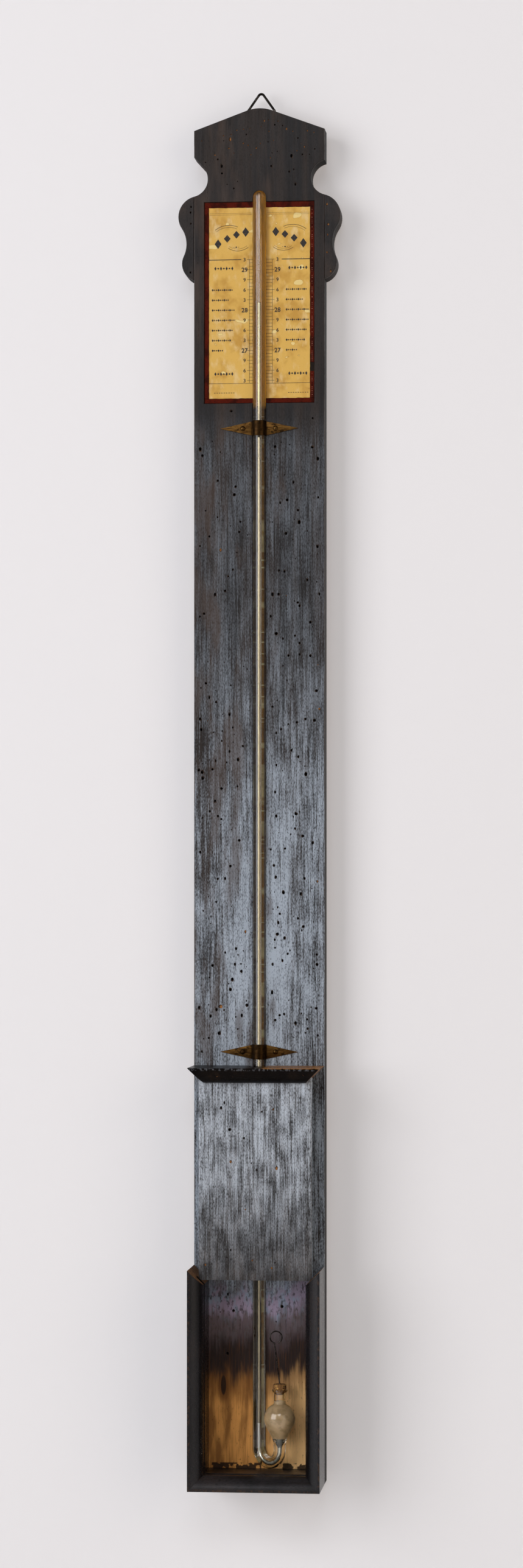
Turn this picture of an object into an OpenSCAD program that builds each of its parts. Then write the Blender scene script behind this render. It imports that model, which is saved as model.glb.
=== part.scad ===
// Siphon stick barometer: a shaped board with a paper scale, a bent mercury tube with a blown
// cistern bulb, and a mitred cistern box whose cover slides up in grooves.
// Millimetres. X to the right, Z up, the front faces -Y. The back of the board is Y = 0 and
// Z = 0 is the point where the wire bail bears on its nail.

/* [Board] */
// Width of the board
board_w = 88; // [80:1:110]
// Thickness of the board
board_t = 15; // [13:0.5:20]
// Height of the board from its foot to the tip of the gable
board_len = 922; // [900:1:960]
// Tip of the gable below the bearing point of the bail
tip_drop = 11.5; // [9:0.5:13]
// Fall of the gable from its tip to the shoulders
gable_fall = 14.5; // [8:0.5:20]
// Rounding of the gable's tip
tip_r = 25; // [10:1:40]

/* [Crest] */
// Radius of the side notches under the gable
notch_r = 11.9; // [9:0.1:13]
// How far the notches cut into the board
notch_in = 9.2; // [7:0.1:10]
// Middle of the notches below the tip of the gable
notch_drop = 47; // [44:0.5:52]
// Height of the saw run-out above the left notch
runout = 2.8; // [1:0.1:5]
// Radius of an ear's upper lobe
lobe_r = 14; // [12:0.5:16]
// Reach of the upper lobe past the board's side
lobe_out = 10.7; // [9:0.1:12]
// Radius of an ear's lower lobe
foot_r = 12; // [10:0.5:13]
// Reach of the lower lobe past the board's side
foot_out = 8.2; // [7:0.1:9.5]
// Lower lobe below the upper lobe
foot_drop = 31.5; // [29:0.5:36]
// Radius of the hollow between the two lobes
waist_r = 19; // [14:0.5:26]

/* [Scale] */
// Width of the recess for the scale
recess_w = 74.2; // [66:0.2:78]
// Height of the recess for the scale
recess_h = 135; // [120:1:150]
// Top of the recess below the tip of the gable
recess_drop = 62.7; // [58:0.1:70]
// Depth of the recess for the scale
recess_d = 1.5; // [1:0.1:3]
// Thickness of the scale paper
paper_t = 0.3; // [0.2:0.1:0.6]
// Thickness of the embossed border strips
strip_t = 0.6; // [0.4:0.1:1]
// Width of the side border strips
side_strip_w = 2.9; // [2:0.1:4]
// Height of the top border strip
top_strip_h = 3.6; // [2.5:0.1:5]
// Height of the bottom border strip
foot_strip_h = 3.1; // [2.5:0.1:5]
// Left cut in the top strip, from the middle
left_cut = 22.1; // [12:0.1:28]
// Right cut in the top strip, from the middle
right_cut = 18.4; // [12:0.1:28]
// Lost length of the right strip
lost_len = 6.1; // [3:0.1:12]
// Lost length of the right strip below the top of the recess
lost_drop = 107.8; // [60:0.1:115]

/* [Glass] */
// Outer diameter of the tube
tube_d = 8; // [7:0.1:9]
// Bore of the tube
bore_d = 2.1; // [1.6:0.1:3.2]
// Height of the tube's axis above the front of the board
tube_lift = 0.4; // [0:0.1:1]
// Sealed end of the tube above the top of the recess
tube_over = 7.2; // [6:0.1:10]
// Lowest point of the bend's axis above the foot of the board
bend_up = 14.9; // [14.5:0.1:20]
// Distance of the short leg to the right of the long leg
leg_right = 15; // [14.5:0.1:16]
// Distance of the short leg in front of the long leg
leg_front = 11; // [10.8:0.1:11.3]
// Outer radius of the cistern bulb
bulb_r = 10.6; // [9.5:0.1:10.9]
// Middle of the bulb above the ends of the bend
bulb_up = 21; // [20.5:0.1:24]
// Half angle of the cone in which the stem opens into the bulb
bulb_taper = 29.5; // [29:0.5:34]
// Wall of the bulb and its neck
bulb_wall = 0.8; // [0.6:0.1:1]
// Outer diameter of the bulb's neck
neck_d = 8; // [7.8:0.1:9]
// Lip of the neck above the middle of the bulb
lip_up = 19.6; // [17:0.1:24]
// Outer diameter of the lip
lip_d = 10.3; // [9.8:0.1:11]
// Height of the lip
lip_h = 1.8; // [1.4:0.1:2.5]
// Rounding where the bulb runs into its stem and its neck
blow_r = 3; // [2:0.5:5]

/* [Mercury] */
// Reading: height of the column above the level in the cistern
column_h = 758; // [740:0.1:775]
// Level in the cistern above the ends of the bend
level_up = 9.5; // [8:0.1:12]
// Foot of the moving column above the ends of the bend
column_foot_up = 70; // [60:1:90]

/* [Stopper] */
// Diameter of the cork's head
cork_d = 9; // [8.4:0.1:9.4]
// Part of the cork that stands out of the lip
cork_out = 3.6; // [2:0.1:6]
// Part of the cork that sits in the neck
cork_in = 3.4; // [3:0.1:6]
// Diameter of the pull wire
pull_d = 0.9; // [0.8:0.1:1.2]
// Radius of the pull loop, at the middle of the wire
loop_r = 4; // [3.6:0.1:5]
// Middle of the pull loop above the top of the cork
loop_up = 31; // [20:1:36]
// Middle of the pull loop to the left of the neck's axis
loop_left = 2.5; // [1:0.1:5]

/* [Clips] */
// Upper clip below the tip of the gable
upper_clip_drop = 214.9; // [210:0.1:240]
// Lower clip above the top of the raised cover
lower_clip_up = 9.2; // [6:0.1:40]
// Sheet thickness of a clip
clip_t = 0.8; // [0.6:0.1:1]
// Height of a clip's saddle
saddle_h = 10; // [8:0.5:10.5]
// Length of a clip between the tips of its tails
clip_len = 52.7; // [44:0.1:60]
// Distance of the clip nails from the middle
clip_nail_x = 11; // [9:0.1:14]
// Diameter of a clip nail's head
clip_head_d = 3.5; // [2.8:0.1:4]

/* [Cistern box] */
// Width of the box rails
rail_w = 10; // [9:0.5:12]
// Height of the box rails above the board
rail_h = 37.5; // [36.5:0.5:42]
// Height of the rails at their inner edge
arris_h = 29.5; // [29:0.5:32]
// Flat along the outer front edge of the rails
lip_w = 1; // [0.6:0.1:1.5]
// Radius of the rounded rail face
face_r = 11.5; // [10:0.5:30]
// Height of the box from the foot of the board to the tops of the side rails
box_h = 146; // [135:1:150]

/* [Cover] */
// Height at which the cover is raised out of its closed place
cover_raise = 134; // [100:0.5:134]
// Thickness of the cover panel
panel_t = 4.6; // [4:0.1:5]
// Back of the panel above the board
panel_up = 22.9; // [22.7:0.1:23.2]
// Width of the panel that runs in each groove
panel_in = 3.6; // [3:0.1:4.4]
// Depth of the grooves in the rails
groove_d = 5.2; // [4.9:0.1:6]
// Width of the panel's side bevels
bevel_w = 4.2; // [3:0.1:6]
// Depth of the panel's side bevels
bevel_d = 1.7; // [1:0.1:2.2]
// Width of the notch in the cover's head, where it passes over the tube
tube_notch_w = 12; // [11:0.5:16]
// Depth of that notch
tube_notch_d = 14; // [12:0.5:17]

/* [Hanger] */
// Wire diameter of the bail
bail_d = 1.6; // [1.2:0.1:2]
// Width of the bail between the middles of its lower corners
bail_w = 22; // [18:0.5:25]
// Bail's base bar below the bearing point
bail_fall = 13.4; // [12.8:0.1:16]
// Bend radius of the bail's corners
bail_bend = 2; // [1.5:0.1:2.5]
// Width of the strap that holds the bail
strap_w = 8; // [6:0.5:9]
// Sheet thickness of the strap
strap_t = 0.7; // [0.5:0.1:0.9]
// Length of the strap below the bail's base bar
strap_len = 15; // [12:0.5:20]

/* [Clearances] */
// Gap of the groove round the tube
groove_gap = 0.4; // [0.2:0.1:0.6]
// Gap between faces that slide
slide_gap = 0.25; // [0.2:0.05:0.4]
// Gap between pieces that are laid side by side
lay_gap = 0.2; // [0.1:0.05:0.4]
// Gap round nails, pins and wires
pin_gap = 0.05; // [0.03:0.01:0.1]

/* [Hidden] */
$fn = 64;

// Overshoot of a cut past the face that it opens
past = 1;
// Swelling of a wire or a tube where it is bent, and how far its straight runs reach into the bend
swell = 0.03;
bend_lap = 0.2;

// Board and crest
half_w = board_w / 2;
front = -board_t;
tip = -tip_drop;
foot = tip - board_len;
shoulder = tip - gable_fall;
gable_angle = atan(gable_fall / half_w);
notch = [half_w - notch_in + notch_r, tip - notch_drop];
lobe_x = half_w + lobe_out - lobe_r;
lobe = [lobe_x, notch.y - sqrt(pow(notch_r + lobe_r, 2) - pow(notch.x - lobe_x, 2))];
ear_foot = [half_w + foot_out - foot_r, lobe.y - foot_drop];
waist = touching(lobe, lobe_r, ear_foot, foot_r, waist_r);
// Angle by which an ear's outline runs on behind the board's side, where it is cut off
ear_tuck = 12;

// Scale
recess_top = tip - recess_drop;
recess_foot = recess_top - recess_h;
recess_floor = front + recess_d;
groove_r = tube_d / 2 + groove_gap;
paper_w = recess_w / 2 - side_strip_w - groove_r - 2 * lay_gap;
lost_top = recess_top - lost_drop;

// Glass and mercury
tube_r = tube_d / 2;
bore_r = bore_d / 2;
tube_y = front - tube_lift;
tube_top = recess_top + tube_over;
bend_r = norm([leg_right, leg_front]) / 2;
bend_turn = -atan2(leg_front, leg_right);
bend_z = foot + bend_up + bend_r;
short_leg = [leg_right, tube_y - leg_front];
bulb_z = bend_z + bulb_up;
neck_r = neck_d / 2;
neck_bore_r = neck_r - bulb_wall;
lip_z = bulb_z + lip_up;
mouth_r = cork_d / 2;
mercury_r = bore_r - pin_gap;
cistern_level = bend_z + level_up;
column_top = cistern_level + column_h;
column_foot = bend_z + column_foot_up;
// Radius of the mercury's rounded surface in the bulb
pool_round = 16;

// Stopper
cork_top = lip_z + cork_out;
cork_neck_r = neck_bore_r - pin_gap;
flare_h = lip_h + past;
loop = [-loop_left, cork_top + loop_up];
// The loop runs from its free end at the lower right round to the stem at the lower left
loop_start = -72;
loop_sweep = 326;
loop_end = loop_start + loop_sweep;
pull_bottom = lip_z - cork_in + past;

// Clips
clip_r = tube_r + pin_gap + clip_t;
upper_clip_z = tip - upper_clip_drop;
tail_root = saddle_h - 0.4;
clip_shank_d = 1.2;
clip_shank_len = 8;
clip_head_h = 1.1;

// Box and cover
rail_top = foot + box_h;
groove_lo = panel_up - slide_gap;
groove_w = panel_t + 2 * slide_gap;
head_top = rail_top + cover_raise;
lower_clip_z = head_top + lower_clip_up;
tongue = groove_d - lay_gap;
panel_w = board_w - 2 * rail_w + 2 * panel_in;
panel_len = box_h - 2 * rail_w + 2 * tongue;
panel_top = head_top - rail_w + tongue;
panel_corner = 2;
rail_reach = 2 * board_len;

// Hanger
bail_r = bail_d / 2;
eye_r = bail_r + 2 * pin_gap;
eye_out = eye_r + strap_t;
bail_y = -eye_out - pin_gap;
hanger_floor = bail_y - eye_out;
bar_z = -bail_fall;
bay_w = bail_w + 4 * bail_d;
bay_foot = bar_z - strap_len - eye_out;
hanger_shank_d = 1.4;
hanger_shank_len = 7;
hanger_head_d = 3.4;
hanger_head_h = 0.9;
hanger_nail_z = [bar_z - strap_len * 0.45, bar_z - strap_len * 0.8];

// Centre of a circle of radius r that touches two circles from outside, to their right
function touching(a, ra, b, rb, r) =
    let (d = norm(b - a), along = (pow(ra + r, 2) - pow(rb + r, 2) + d * d) / (2 * d))
    let (off = sqrt(pow(ra + r, 2) - along * along), u = (b - a) / d)
    a + along * u + off * [-u.y, u.x];

// Centre of a circle of radius r through a and b, to the right of the way from a to b
function through(a, b, r) =
    let (d = norm(b - a), u = (b - a) / d, off = sqrt(r * r - d * d / 4))
    (a + b) / 2 + off * [u.y, -u.x];

// Points on an arc
function arc(c, r, from, to, n) = [for (i = [0:n]) let (a = from + (to - from) * i / n) c + r * [cos(a), sin(a)]];

// Direction from one point to another
function turn(from, to) = atan2(to.y - from.y, to.x - from.x);

function reversed(list) = [for (i = [len(list) - 1:-1:0]) list[i]];

// Stands a front outline up and gives it thickness t, from y towards the front
module upright(y, t) {
    translate([0, y, 0]) rotate([90, 0, 0]) linear_extrude(t) children();
}

// Round bar along the tube's bend and up its long leg to a height
module bent_bar(r, top) {
    translate([0, tube_y, bend_z - bend_lap]) cylinder(r = r, h = top - bend_z + bend_lap);
    translate([0, tube_y, bend_z]) rotate([0, 0, bend_turn]) translate([bend_r, 0, 0])
        rotate([-90, 0, 0]) rotate_extrude(angle = 180) translate([bend_r, 0]) circle(r + swell);
}

// The same bar with a round end
module sealed_bar(r) {
    bent_bar(r, tube_top - tube_r);
    translate([0, tube_y, tube_top - tube_r]) sphere(r);
}

module board_outline() {
    gable = arc([0, tip - tip_r], tip_r, 90 - gable_angle, 90 + gable_angle, 8);
    difference() {
        polygon(concat([[half_w, foot], [half_w, shoulder]], gable, [[-half_w, shoulder], [-half_w, foot]]));
        for (side = [-1, 1]) translate([side * notch.x, notch.y]) circle(notch_r);
        // The saw ran out above the left notch
        polygon([
            [-half_w - past, notch.y],
            [-half_w - past, notch.y + notch_r + runout],
            [-half_w, notch.y + notch_r + runout],
            [-notch.x + notch_r * cos(45), notch.y + notch_r * sin(45)],
            [-notch.x, notch.y]
        ]);
    }
}

module hanger_bay() {
    translate([-bay_w / 2, hanger_floor, bay_foot]) cube([bay_w, past - hanger_floor, past - bay_foot]);
}

// Round nail along -Y to +Y: its head's underside lies at y = 0 and the shank runs towards +Y
module nail(shank_d, shank_len, head_d, head_h) {
    cap_r = (head_d * head_d / 4 + head_h * head_h) / (2 * head_h);
    rotate([-90, 0, 0]) {
        cylinder(d = shank_d, h = shank_len);
        intersection() {
            translate([0, 0, cap_r - head_h]) sphere(cap_r);
            translate([0, 0, -head_h]) cylinder(d = head_d, h = head_h);
        }
    }
}

module shank_hole(d, len) {
    rotate([-90, 0, 0]) cylinder(d = d + 2 * pin_gap, h = len + pin_gap);
}

module clip_nail_places(z) {
    for (side = [-1, 1]) translate([side * clip_nail_x, front, z]) children();
}

module hanger_nail_places() {
    for (z = hanger_nail_z) translate([0, hanger_floor, z]) rotate([0, 0, 180]) children();
}

module backboard() color("#2f2a27") difference() {
    upright(0, board_t) board_outline();
    translate([-recess_w / 2, front - past, recess_foot]) cube([recess_w, recess_d + past, recess_h]);
    sealed_bar(groove_r);
    hanger_bay();
    for (z = [upper_clip_z, lower_clip_z]) clip_nail_places(z) shank_hole(clip_shank_d, clip_shank_len);
    hanger_nail_places() shank_hole(hanger_shank_d, hanger_shank_len);
}

// Ear on the right side of the board: two lobes joined over a hollow waist, cut at the board
module ear_outline() {
    to_notch = turn(lobe, notch);
    to_foot = turn(lobe, waist);
    foot_end = -acos((half_w - ear_foot.x) / foot_r) - ear_tuck;
    difference() {
        polygon(concat(
            arc(notch, notch_r, turn(notch, lobe) - ear_tuck, turn(notch, lobe), 3),
            arc(lobe, lobe_r, to_notch, to_foot, 16),
            arc(waist, waist_r, turn(waist, lobe), turn(waist, ear_foot) + 360, 10),
            arc(ear_foot, foot_r, turn(ear_foot, waist), foot_end, 14)
        ));
        translate([half_w - board_w, foot]) square([board_w, board_len]);
    }
}

module right_ear() color("#2c2826") upright(0, board_t) ear_outline();

module left_ear() color("#2c2826") upright(0, board_t) mirror([1, 0]) ear_outline();

// Sheet that lies on the floor of the scale recess
module laid(x, z, w, h, t) {
    translate([x, recess_floor - t, z]) cube([w, t, h]);
}

module scale_paper_right() color("#d9bd7c") {
    foot_z = recess_foot + foot_strip_h + lay_gap;
    laid(groove_r + lay_gap, foot_z, paper_w, recess_top - top_strip_h - lay_gap - foot_z, paper_t);
}

module scale_paper_left() mirror([1, 0, 0]) scale_paper_right();

module strip_across(from, to, z, h) {
    laid(from, z, to - from, h, strip_t);
}

module border_top() color("#6b2416") {
    edge = recess_w / 2 - lay_gap;
    z = recess_top - top_strip_h;
    h = top_strip_h - lay_gap;
    strip_across(-edge, -left_cut - lay_gap, z, h);
    strip_across(-left_cut, -groove_r, z, h);
    strip_across(groove_r, right_cut, z, h);
    strip_across(right_cut + lay_gap, edge, z, h);
}

module border_bottom() color("#6b2416") {
    edge = recess_w / 2 - lay_gap;
    for (side = [0, 1]) mirror([side, 0, 0])
        strip_across(groove_r, edge, recess_foot + lay_gap, foot_strip_h - lay_gap);
}

// Stretch of a side strip between two heights, on the right
module strip_up(from, to) {
    laid(recess_w / 2 - side_strip_w, from, side_strip_w - lay_gap, to - from, strip_t);
}

module border_left() color("#6b2416") mirror([1, 0, 0])
    strip_up(recess_foot + foot_strip_h + lay_gap, recess_top - top_strip_h - lay_gap);

module border_right_upper() color("#6b2416") strip_up(lost_top, recess_top - top_strip_h - lay_gap);

module border_right_lower() color("#6b2416")
    strip_up(recess_foot + foot_strip_h + lay_gap, lost_top - lost_len);

module siphon_tube() color("#bcd0cc", 0.4) difference() {
    sealed_bar(tube_r);
    sealed_bar(bore_r);
}

// Half outline of a blown pear round the origin: its stem opens in a cone that runs into the
// sphere, and the sphere turns up into its neck, with rounded corners
function pear(stem, neck, r, corner) =
    let (cone_foot = -r * sin(bulb_taper) - (r * cos(bulb_taper) - stem) / tan(bulb_taper))
    let (low = [stem + corner, cone_foot - corner * tan(bulb_taper / 2)])
    let (high = [neck + corner, sqrt(pow(r + corner, 2) - pow(neck + corner, 2))])
    concat(
        arc(low, corner, 180, 180 - bulb_taper, 4),
        arc([0, 0], r, -bulb_taper, turn([0, 0], high), 20),
        arc(high, corner, turn(high, [0, 0]), -180, 5)
    );

module cistern_bulb() color("#bcd0cc", 0.4) translate([short_leg.x, short_leg.y, bulb_z]) rotate_extrude()
    polygon(concat(
        [[bore_r, -bulb_up], [tube_r, -bulb_up]],
        pear(tube_r, neck_r, bulb_r, blow_r),
        [[neck_r, lip_up - lip_h], [lip_d / 2, lip_up - lip_h], [lip_d / 2, lip_up]],
        [[mouth_r, lip_up], [neck_bore_r, lip_up - flare_h]],
        reversed(pear(bore_r, neck_bore_r, bulb_r - bulb_wall, blow_r + bulb_wall))
    ));

// Pool of mercury that stands in the short leg and the foot of the bulb, with a rounded surface
module pool() {
    stem_foot = -bulb_up - bend_lap;
    pool_r = bulb_r - bulb_wall - pin_gap;
    translate([short_leg.x, short_leg.y, bulb_z]) intersection() {
        rotate_extrude() polygon(concat(
            [[0, stem_foot], [mercury_r, stem_foot]],
            pear(mercury_r, neck_bore_r - pin_gap, pool_r, blow_r + bulb_wall),
            [[0, lip_up]]
        ));
        translate([0, 0, level_up - bulb_up - pool_round]) sphere(pool_round);
    }
}

module mercury_cistern() color("#c9ccd0") {
    bent_bar(mercury_r, column_foot);
    pool();
}

// Thread of mercury in the long leg, with a rounded surface
module mercury_column() color("#c9ccd0") {
    rounding = mercury_r / 2;
    cap_r = (mercury_r * mercury_r + rounding * rounding) / (2 * rounding);
    translate([0, tube_y, 0]) intersection() {
        translate([0, 0, column_foot]) cylinder(r = mercury_r, h = column_top - column_foot);
        union() {
            translate([0, 0, column_top - cap_r]) sphere(cap_r);
            translate([0, 0, column_foot - past])
                cylinder(r = bore_r, h = column_top - rounding - column_foot + past);
        }
    }
}

module pull_stem(r) {
    translate([0, 0, pull_bottom]) cylinder(r = r, h = cork_top - pull_bottom);
}

module cork_stopper() color("#8a6a45") translate([short_leg.x, short_leg.y, 0]) difference() {
    rotate_extrude() polygon([
        [0, lip_z - cork_in], [cork_neck_r, lip_z - cork_in], [cork_neck_r, lip_z - flare_h],
        [mouth_r - pin_gap, lip_z], [mouth_r, cork_top - 0.5], [mouth_r - 0.5, cork_top], [0, cork_top]
    ]);
    pull_stem(pull_d / 2 + pin_gap);
}

module pull_wire() color("#3a3836") translate([short_leg.x, short_leg.y, 0]) {
    r = pull_d / 2;
    join = loop + loop_r * [cos(loop_end), sin(loop_end)];
    lean = [join.x, join.y - cork_top];
    pull_stem(r);
    translate([0, 0, cork_top]) {
        sphere(r + swell);
        rotate([0, atan2(lean.x, lean.y), 0]) cylinder(r = r, h = norm(lean));
    }
    translate([join.x, 0, join.y]) sphere(r + swell);
    translate([loop.x, 0, loop.y]) rotate([90, 0, 0]) rotate([0, 0, loop_start])
        rotate_extrude(angle = loop_sweep) translate([loop_r, 0]) circle(r);
}

// Brass strap with a saddle over the tube and two pointed tails, nailed to the board
module clip(z) {
    tip_x = clip_len / 2;
    root_x = clip_r - clip_t / 2;
    difference() {
        translate([0, front, z]) {
            rotate([90, 0, 0]) linear_extrude(clip_t) polygon([
                [-tip_x, 0], [-root_x, -tail_root / 2], [root_x, -tail_root / 2],
                [tip_x, 0], [root_x, tail_root / 2], [-root_x, tail_root / 2]
            ]);
            translate([0, -tube_lift, -saddle_h / 2]) cylinder(r = clip_r, h = saddle_h);
        }
        translate([-board_w, front, z - saddle_h]) cube([2 * board_w, board_t, 2 * saddle_h]);
        translate([0, tube_y, z - saddle_h]) cylinder(r = tube_r + pin_gap, h = 2 * saddle_h);
        translate([-tube_r - pin_gap, tube_y, z - saddle_h]) cube([tube_d + 2 * pin_gap, board_t, 2 * saddle_h]);
        clip_nail_places(z) translate([0, -clip_t - past, 0]) shank_hole(clip_shank_d, clip_t + 2 * past);
    }
}

module clip_nails(z) {
    clip_nail_places(z) translate([0, -clip_t, 0]) nail(clip_shank_d, clip_shank_len, clip_head_d, clip_head_h);
}

module upper_clip() color("#b98a2c") clip(upper_clip_z);

module lower_clip() color("#b98a2c") clip(lower_clip_z);

module upper_clip_nails() color("#c79a3c") clip_nails(upper_clip_z);

module lower_clip_nails() color("#c79a3c") clip_nails(lower_clip_z);

// Section of the box moulding: x runs from the inner wall outwards, y up from the board
module rail_section() {
    outer = [rail_w - lip_w, rail_h];
    inner = [0, arris_h];
    difference() {
        intersection() {
            square([rail_w, rail_h]);
            union() {
                square([rail_w, arris_h]);
                translate([outer.x, 0]) square([lip_w, rail_h]);
                translate(through(inner, outer, face_r)) circle(face_r);
            }
        }
        translate([-past, groove_lo]) square([groove_d + past, groove_w]);
    }
}

// Rail along Z on the right side, cut to a front outline
module side_rail() {
    intersection() {
        translate([half_w - rail_w, front, foot - past]) mirror([0, 1, 0])
            linear_extrude(box_h + 2 * past) rail_section();
        upright(front + past, rail_h + 2 * past) polygon([
            [half_w, foot], [half_w, rail_top], [half_w - rail_w, rail_top - rail_w],
            [half_w - rail_w, foot + rail_w]
        ]);
    }
}

// Rail along X whose outer side lies at z, below its inner wall (up = 1) or above it (up = -1),
// with mitred ends, lifted off the board by a gap
module cross_rail(z, up, gap) {
    intersection() {
        translate([0, front, z + up * rail_w]) rotate([0, up * 90, 0]) mirror([0, 1, 0])
            translate([0, 0, -board_w]) linear_extrude(2 * board_w) rail_section();
        upright(front - gap, rail_h) polygon([
            [-half_w, z], [half_w, z],
            [half_w - rail_w, z + up * rail_w], [rail_w - half_w, z + up * rail_w]
        ]);
    }
}

module box_side_right() color("#241f1d") side_rail();

module box_side_left() color("#241f1d") mirror([1, 0, 0]) side_rail();

module box_bottom_rail() color("#241f1d") cross_rail(foot, 1, 0);

module cover_head() color("#26211f") difference() {
    cross_rail(head_top, -1, slide_gap);
    translate([0, front - tube_notch_d + tube_notch_w / 2, head_top - rail_w - past])
        cylinder(d = tube_notch_w, h = rail_w + 2 * past);
    translate([-tube_notch_w / 2, front - tube_notch_d + tube_notch_w / 2, head_top - rail_w - past])
        cube([tube_notch_w, tube_notch_d, rail_w + 2 * past]);
}

module cover_panel() color("#4a4745") intersection() {
    translate([0, front - panel_up, panel_top - panel_len]) linear_extrude(panel_len) mirror([0, 1]) polygon([
        [-panel_w / 2, 0], [panel_w / 2, 0], [panel_w / 2, panel_t - bevel_d],
        [panel_w / 2 - bevel_w, panel_t], [bevel_w - panel_w / 2, panel_t], [-panel_w / 2, panel_t - bevel_d]
    ]);
    upright(front, rail_h) {
        foot_z = panel_top - panel_len;
        translate([-panel_w / 2, foot_z + panel_corner]) square([panel_w, panel_len]);
        translate([panel_corner - panel_w / 2, foot_z]) square([panel_w - 2 * panel_corner, panel_len]);
        for (side = [-1, 1]) translate([side * (panel_w / 2 - panel_corner), foot_z + panel_corner])
            circle(panel_corner);
    }
}

// Round wire bent to a closed triangle in the XZ plane, with rounded corners
module wire_triangle(p, r, bend) {
    for (i = [0:2]) {
        a = p[i];
        b = p[(i + 1) % 3];
        c = p[(i + 2) % 3];
        to_b = (b - a) / norm(b - a);
        to_c = (c - a) / norm(c - a);
        half = acos(to_b * to_c) / 2;
        half_b = acos(((a - b) / norm(a - b)) * ((c - b) / norm(c - b))) / 2;
        start = a + to_b * bend / tan(half);
        run = norm(b - a) - bend / tan(half) - bend / tan(half_b);
        middle = a + (to_b + to_c) / norm(to_b + to_c) * bend / sin(half);
        out = atan2(a.y - middle.y, a.x - middle.x);
        translate([start.x, 0, start.y]) rotate([0, atan2(to_b.x, to_b.y), 0])
            translate([0, 0, -bend_lap]) cylinder(r = r, h = run + 2 * bend_lap);
        translate([middle.x, 0, middle.y]) rotate([90, 0, 0]) rotate([0, 0, out - 90 + half])
            rotate_extrude(angle = 180 - 2 * half) translate([bend, 0]) circle(r + swell);
    }
}

module hanger_bail() color("#3b3733") {
    // The rounded top corner drops the wire below the corner point of the triangle
    rise = bail_fall + bail_r;
    sharp_top = atan2(bail_w / 2, rise);
    half_top = atan2(bail_w / 2, rise + bail_bend / sin(sharp_top) - bail_bend);
    cut = bail_bend / sin(half_top) - bail_bend;
    translate([0, bail_y, 0])
        wire_triangle([[0, bail_r + cut], [-bail_w / 2, bar_z], [bail_w / 2, bar_z]], bail_r, bail_bend);
}

module hanger_strap() color("#6f5a33") difference() {
    union() {
        translate([-strap_w / 2, bail_y, bar_z]) rotate([0, 90, 0]) cylinder(r = eye_out, h = strap_w);
        translate([-strap_w / 2, hanger_floor, bar_z - strap_len]) cube([strap_w, 2 * strap_t, strap_len]);
    }
    translate([-strap_w, bail_y, bar_z]) rotate([0, 90, 0]) cylinder(r = eye_r, h = 2 * strap_w);
    hanger_nail_places() translate([0, -2 * strap_t - past, 0]) shank_hole(hanger_shank_d, 2 * strap_t + 2 * past);
}

module hanger_nails() color("#55504a") hanger_nail_places()
    translate([0, -2 * strap_t, 0]) nail(hanger_shank_d, hanger_shank_len, hanger_head_d, hanger_head_h);

backboard();
left_ear();
right_ear();
scale_paper_left();
scale_paper_right();
border_top();
border_bottom();
border_left();
border_right_upper();
border_right_lower();
siphon_tube();
cistern_bulb();
mercury_cistern();
mercury_column();
cork_stopper();
pull_wire();
upper_clip();
lower_clip();
upper_clip_nails();
lower_clip_nails();
box_side_left();
box_side_right();
box_bottom_rail();
cover_panel();
cover_head();
hanger_bail();
hanger_strap();
hanger_nails();
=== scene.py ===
"""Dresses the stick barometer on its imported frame: wood, paper, blown glass, mercury, brass and iron."""

import logging
import math
import random
from dataclasses import dataclass
from enum import Enum
from functools import cached_property
from typing import Callable, Iterable, NamedTuple, Sequence

import bmesh
import bpy
from mathutils import Matrix, Vector, noise


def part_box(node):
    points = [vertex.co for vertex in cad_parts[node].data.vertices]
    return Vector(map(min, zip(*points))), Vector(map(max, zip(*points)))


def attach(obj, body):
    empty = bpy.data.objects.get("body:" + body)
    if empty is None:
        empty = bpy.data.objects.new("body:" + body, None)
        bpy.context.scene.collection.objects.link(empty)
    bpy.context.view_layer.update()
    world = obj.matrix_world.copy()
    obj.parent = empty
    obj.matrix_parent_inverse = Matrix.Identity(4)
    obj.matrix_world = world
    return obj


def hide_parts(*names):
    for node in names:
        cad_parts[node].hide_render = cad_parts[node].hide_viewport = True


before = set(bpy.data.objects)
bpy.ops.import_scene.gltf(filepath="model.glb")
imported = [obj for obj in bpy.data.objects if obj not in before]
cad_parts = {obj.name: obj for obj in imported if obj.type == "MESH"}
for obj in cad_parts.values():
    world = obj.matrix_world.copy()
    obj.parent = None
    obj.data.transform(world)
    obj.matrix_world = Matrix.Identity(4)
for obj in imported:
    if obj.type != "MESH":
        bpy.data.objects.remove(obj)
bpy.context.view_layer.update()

LOG = logging.getLogger("barometer")
MM = 0.001
WELD = 2e-6
SMOOTH = 32.0
ARRIS_TURN = 0.7
UPRIGHT = Matrix.Rotation(math.pi / 2, 4, "X")
Mesh = bmesh.types.BMesh
Edge = bmesh.types.BMEdge
Piece = bpy.types.Object
Socket = bpy.types.NodeSocket
Sockets = tuple[Socket, Socket, Socket, Socket]
Spot = tuple[float, float]
Spots = tuple[Spot, ...]
Size = tuple[float, float, float]
Mark = tuple[Spot, Spot]


# Painting


def colour(code: str) -> tuple[float, float, float, float]:
    """Turns an sRGB hex value into linear light.

    Args:
        code: colour as #rrggbb.

    Returns:
        Linear red, green, blue and a full alpha.
    """
    parts = [int(code[i : i + 2], 16) / 255 for i in (1, 3, 5)]
    linear = [p / 12.92 if p <= 0.04045 else ((p + 0.055) / 1.055) ** 2.4 for p in parts]
    return (linear[0], linear[1], linear[2], 1.0)


def plug(node: bpy.types.Node, links: dict) -> None:
    """Sets or links a node's inputs.

    Args:
        node: node to set.
        links: input name or number to a socket, which is linked, or to a value.
    """
    for name, value in links.items():
        if isinstance(value, Socket):
            node.id_data.links.new(value, node.inputs[name])
        else:
            node.inputs[name].default_value = value


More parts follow.
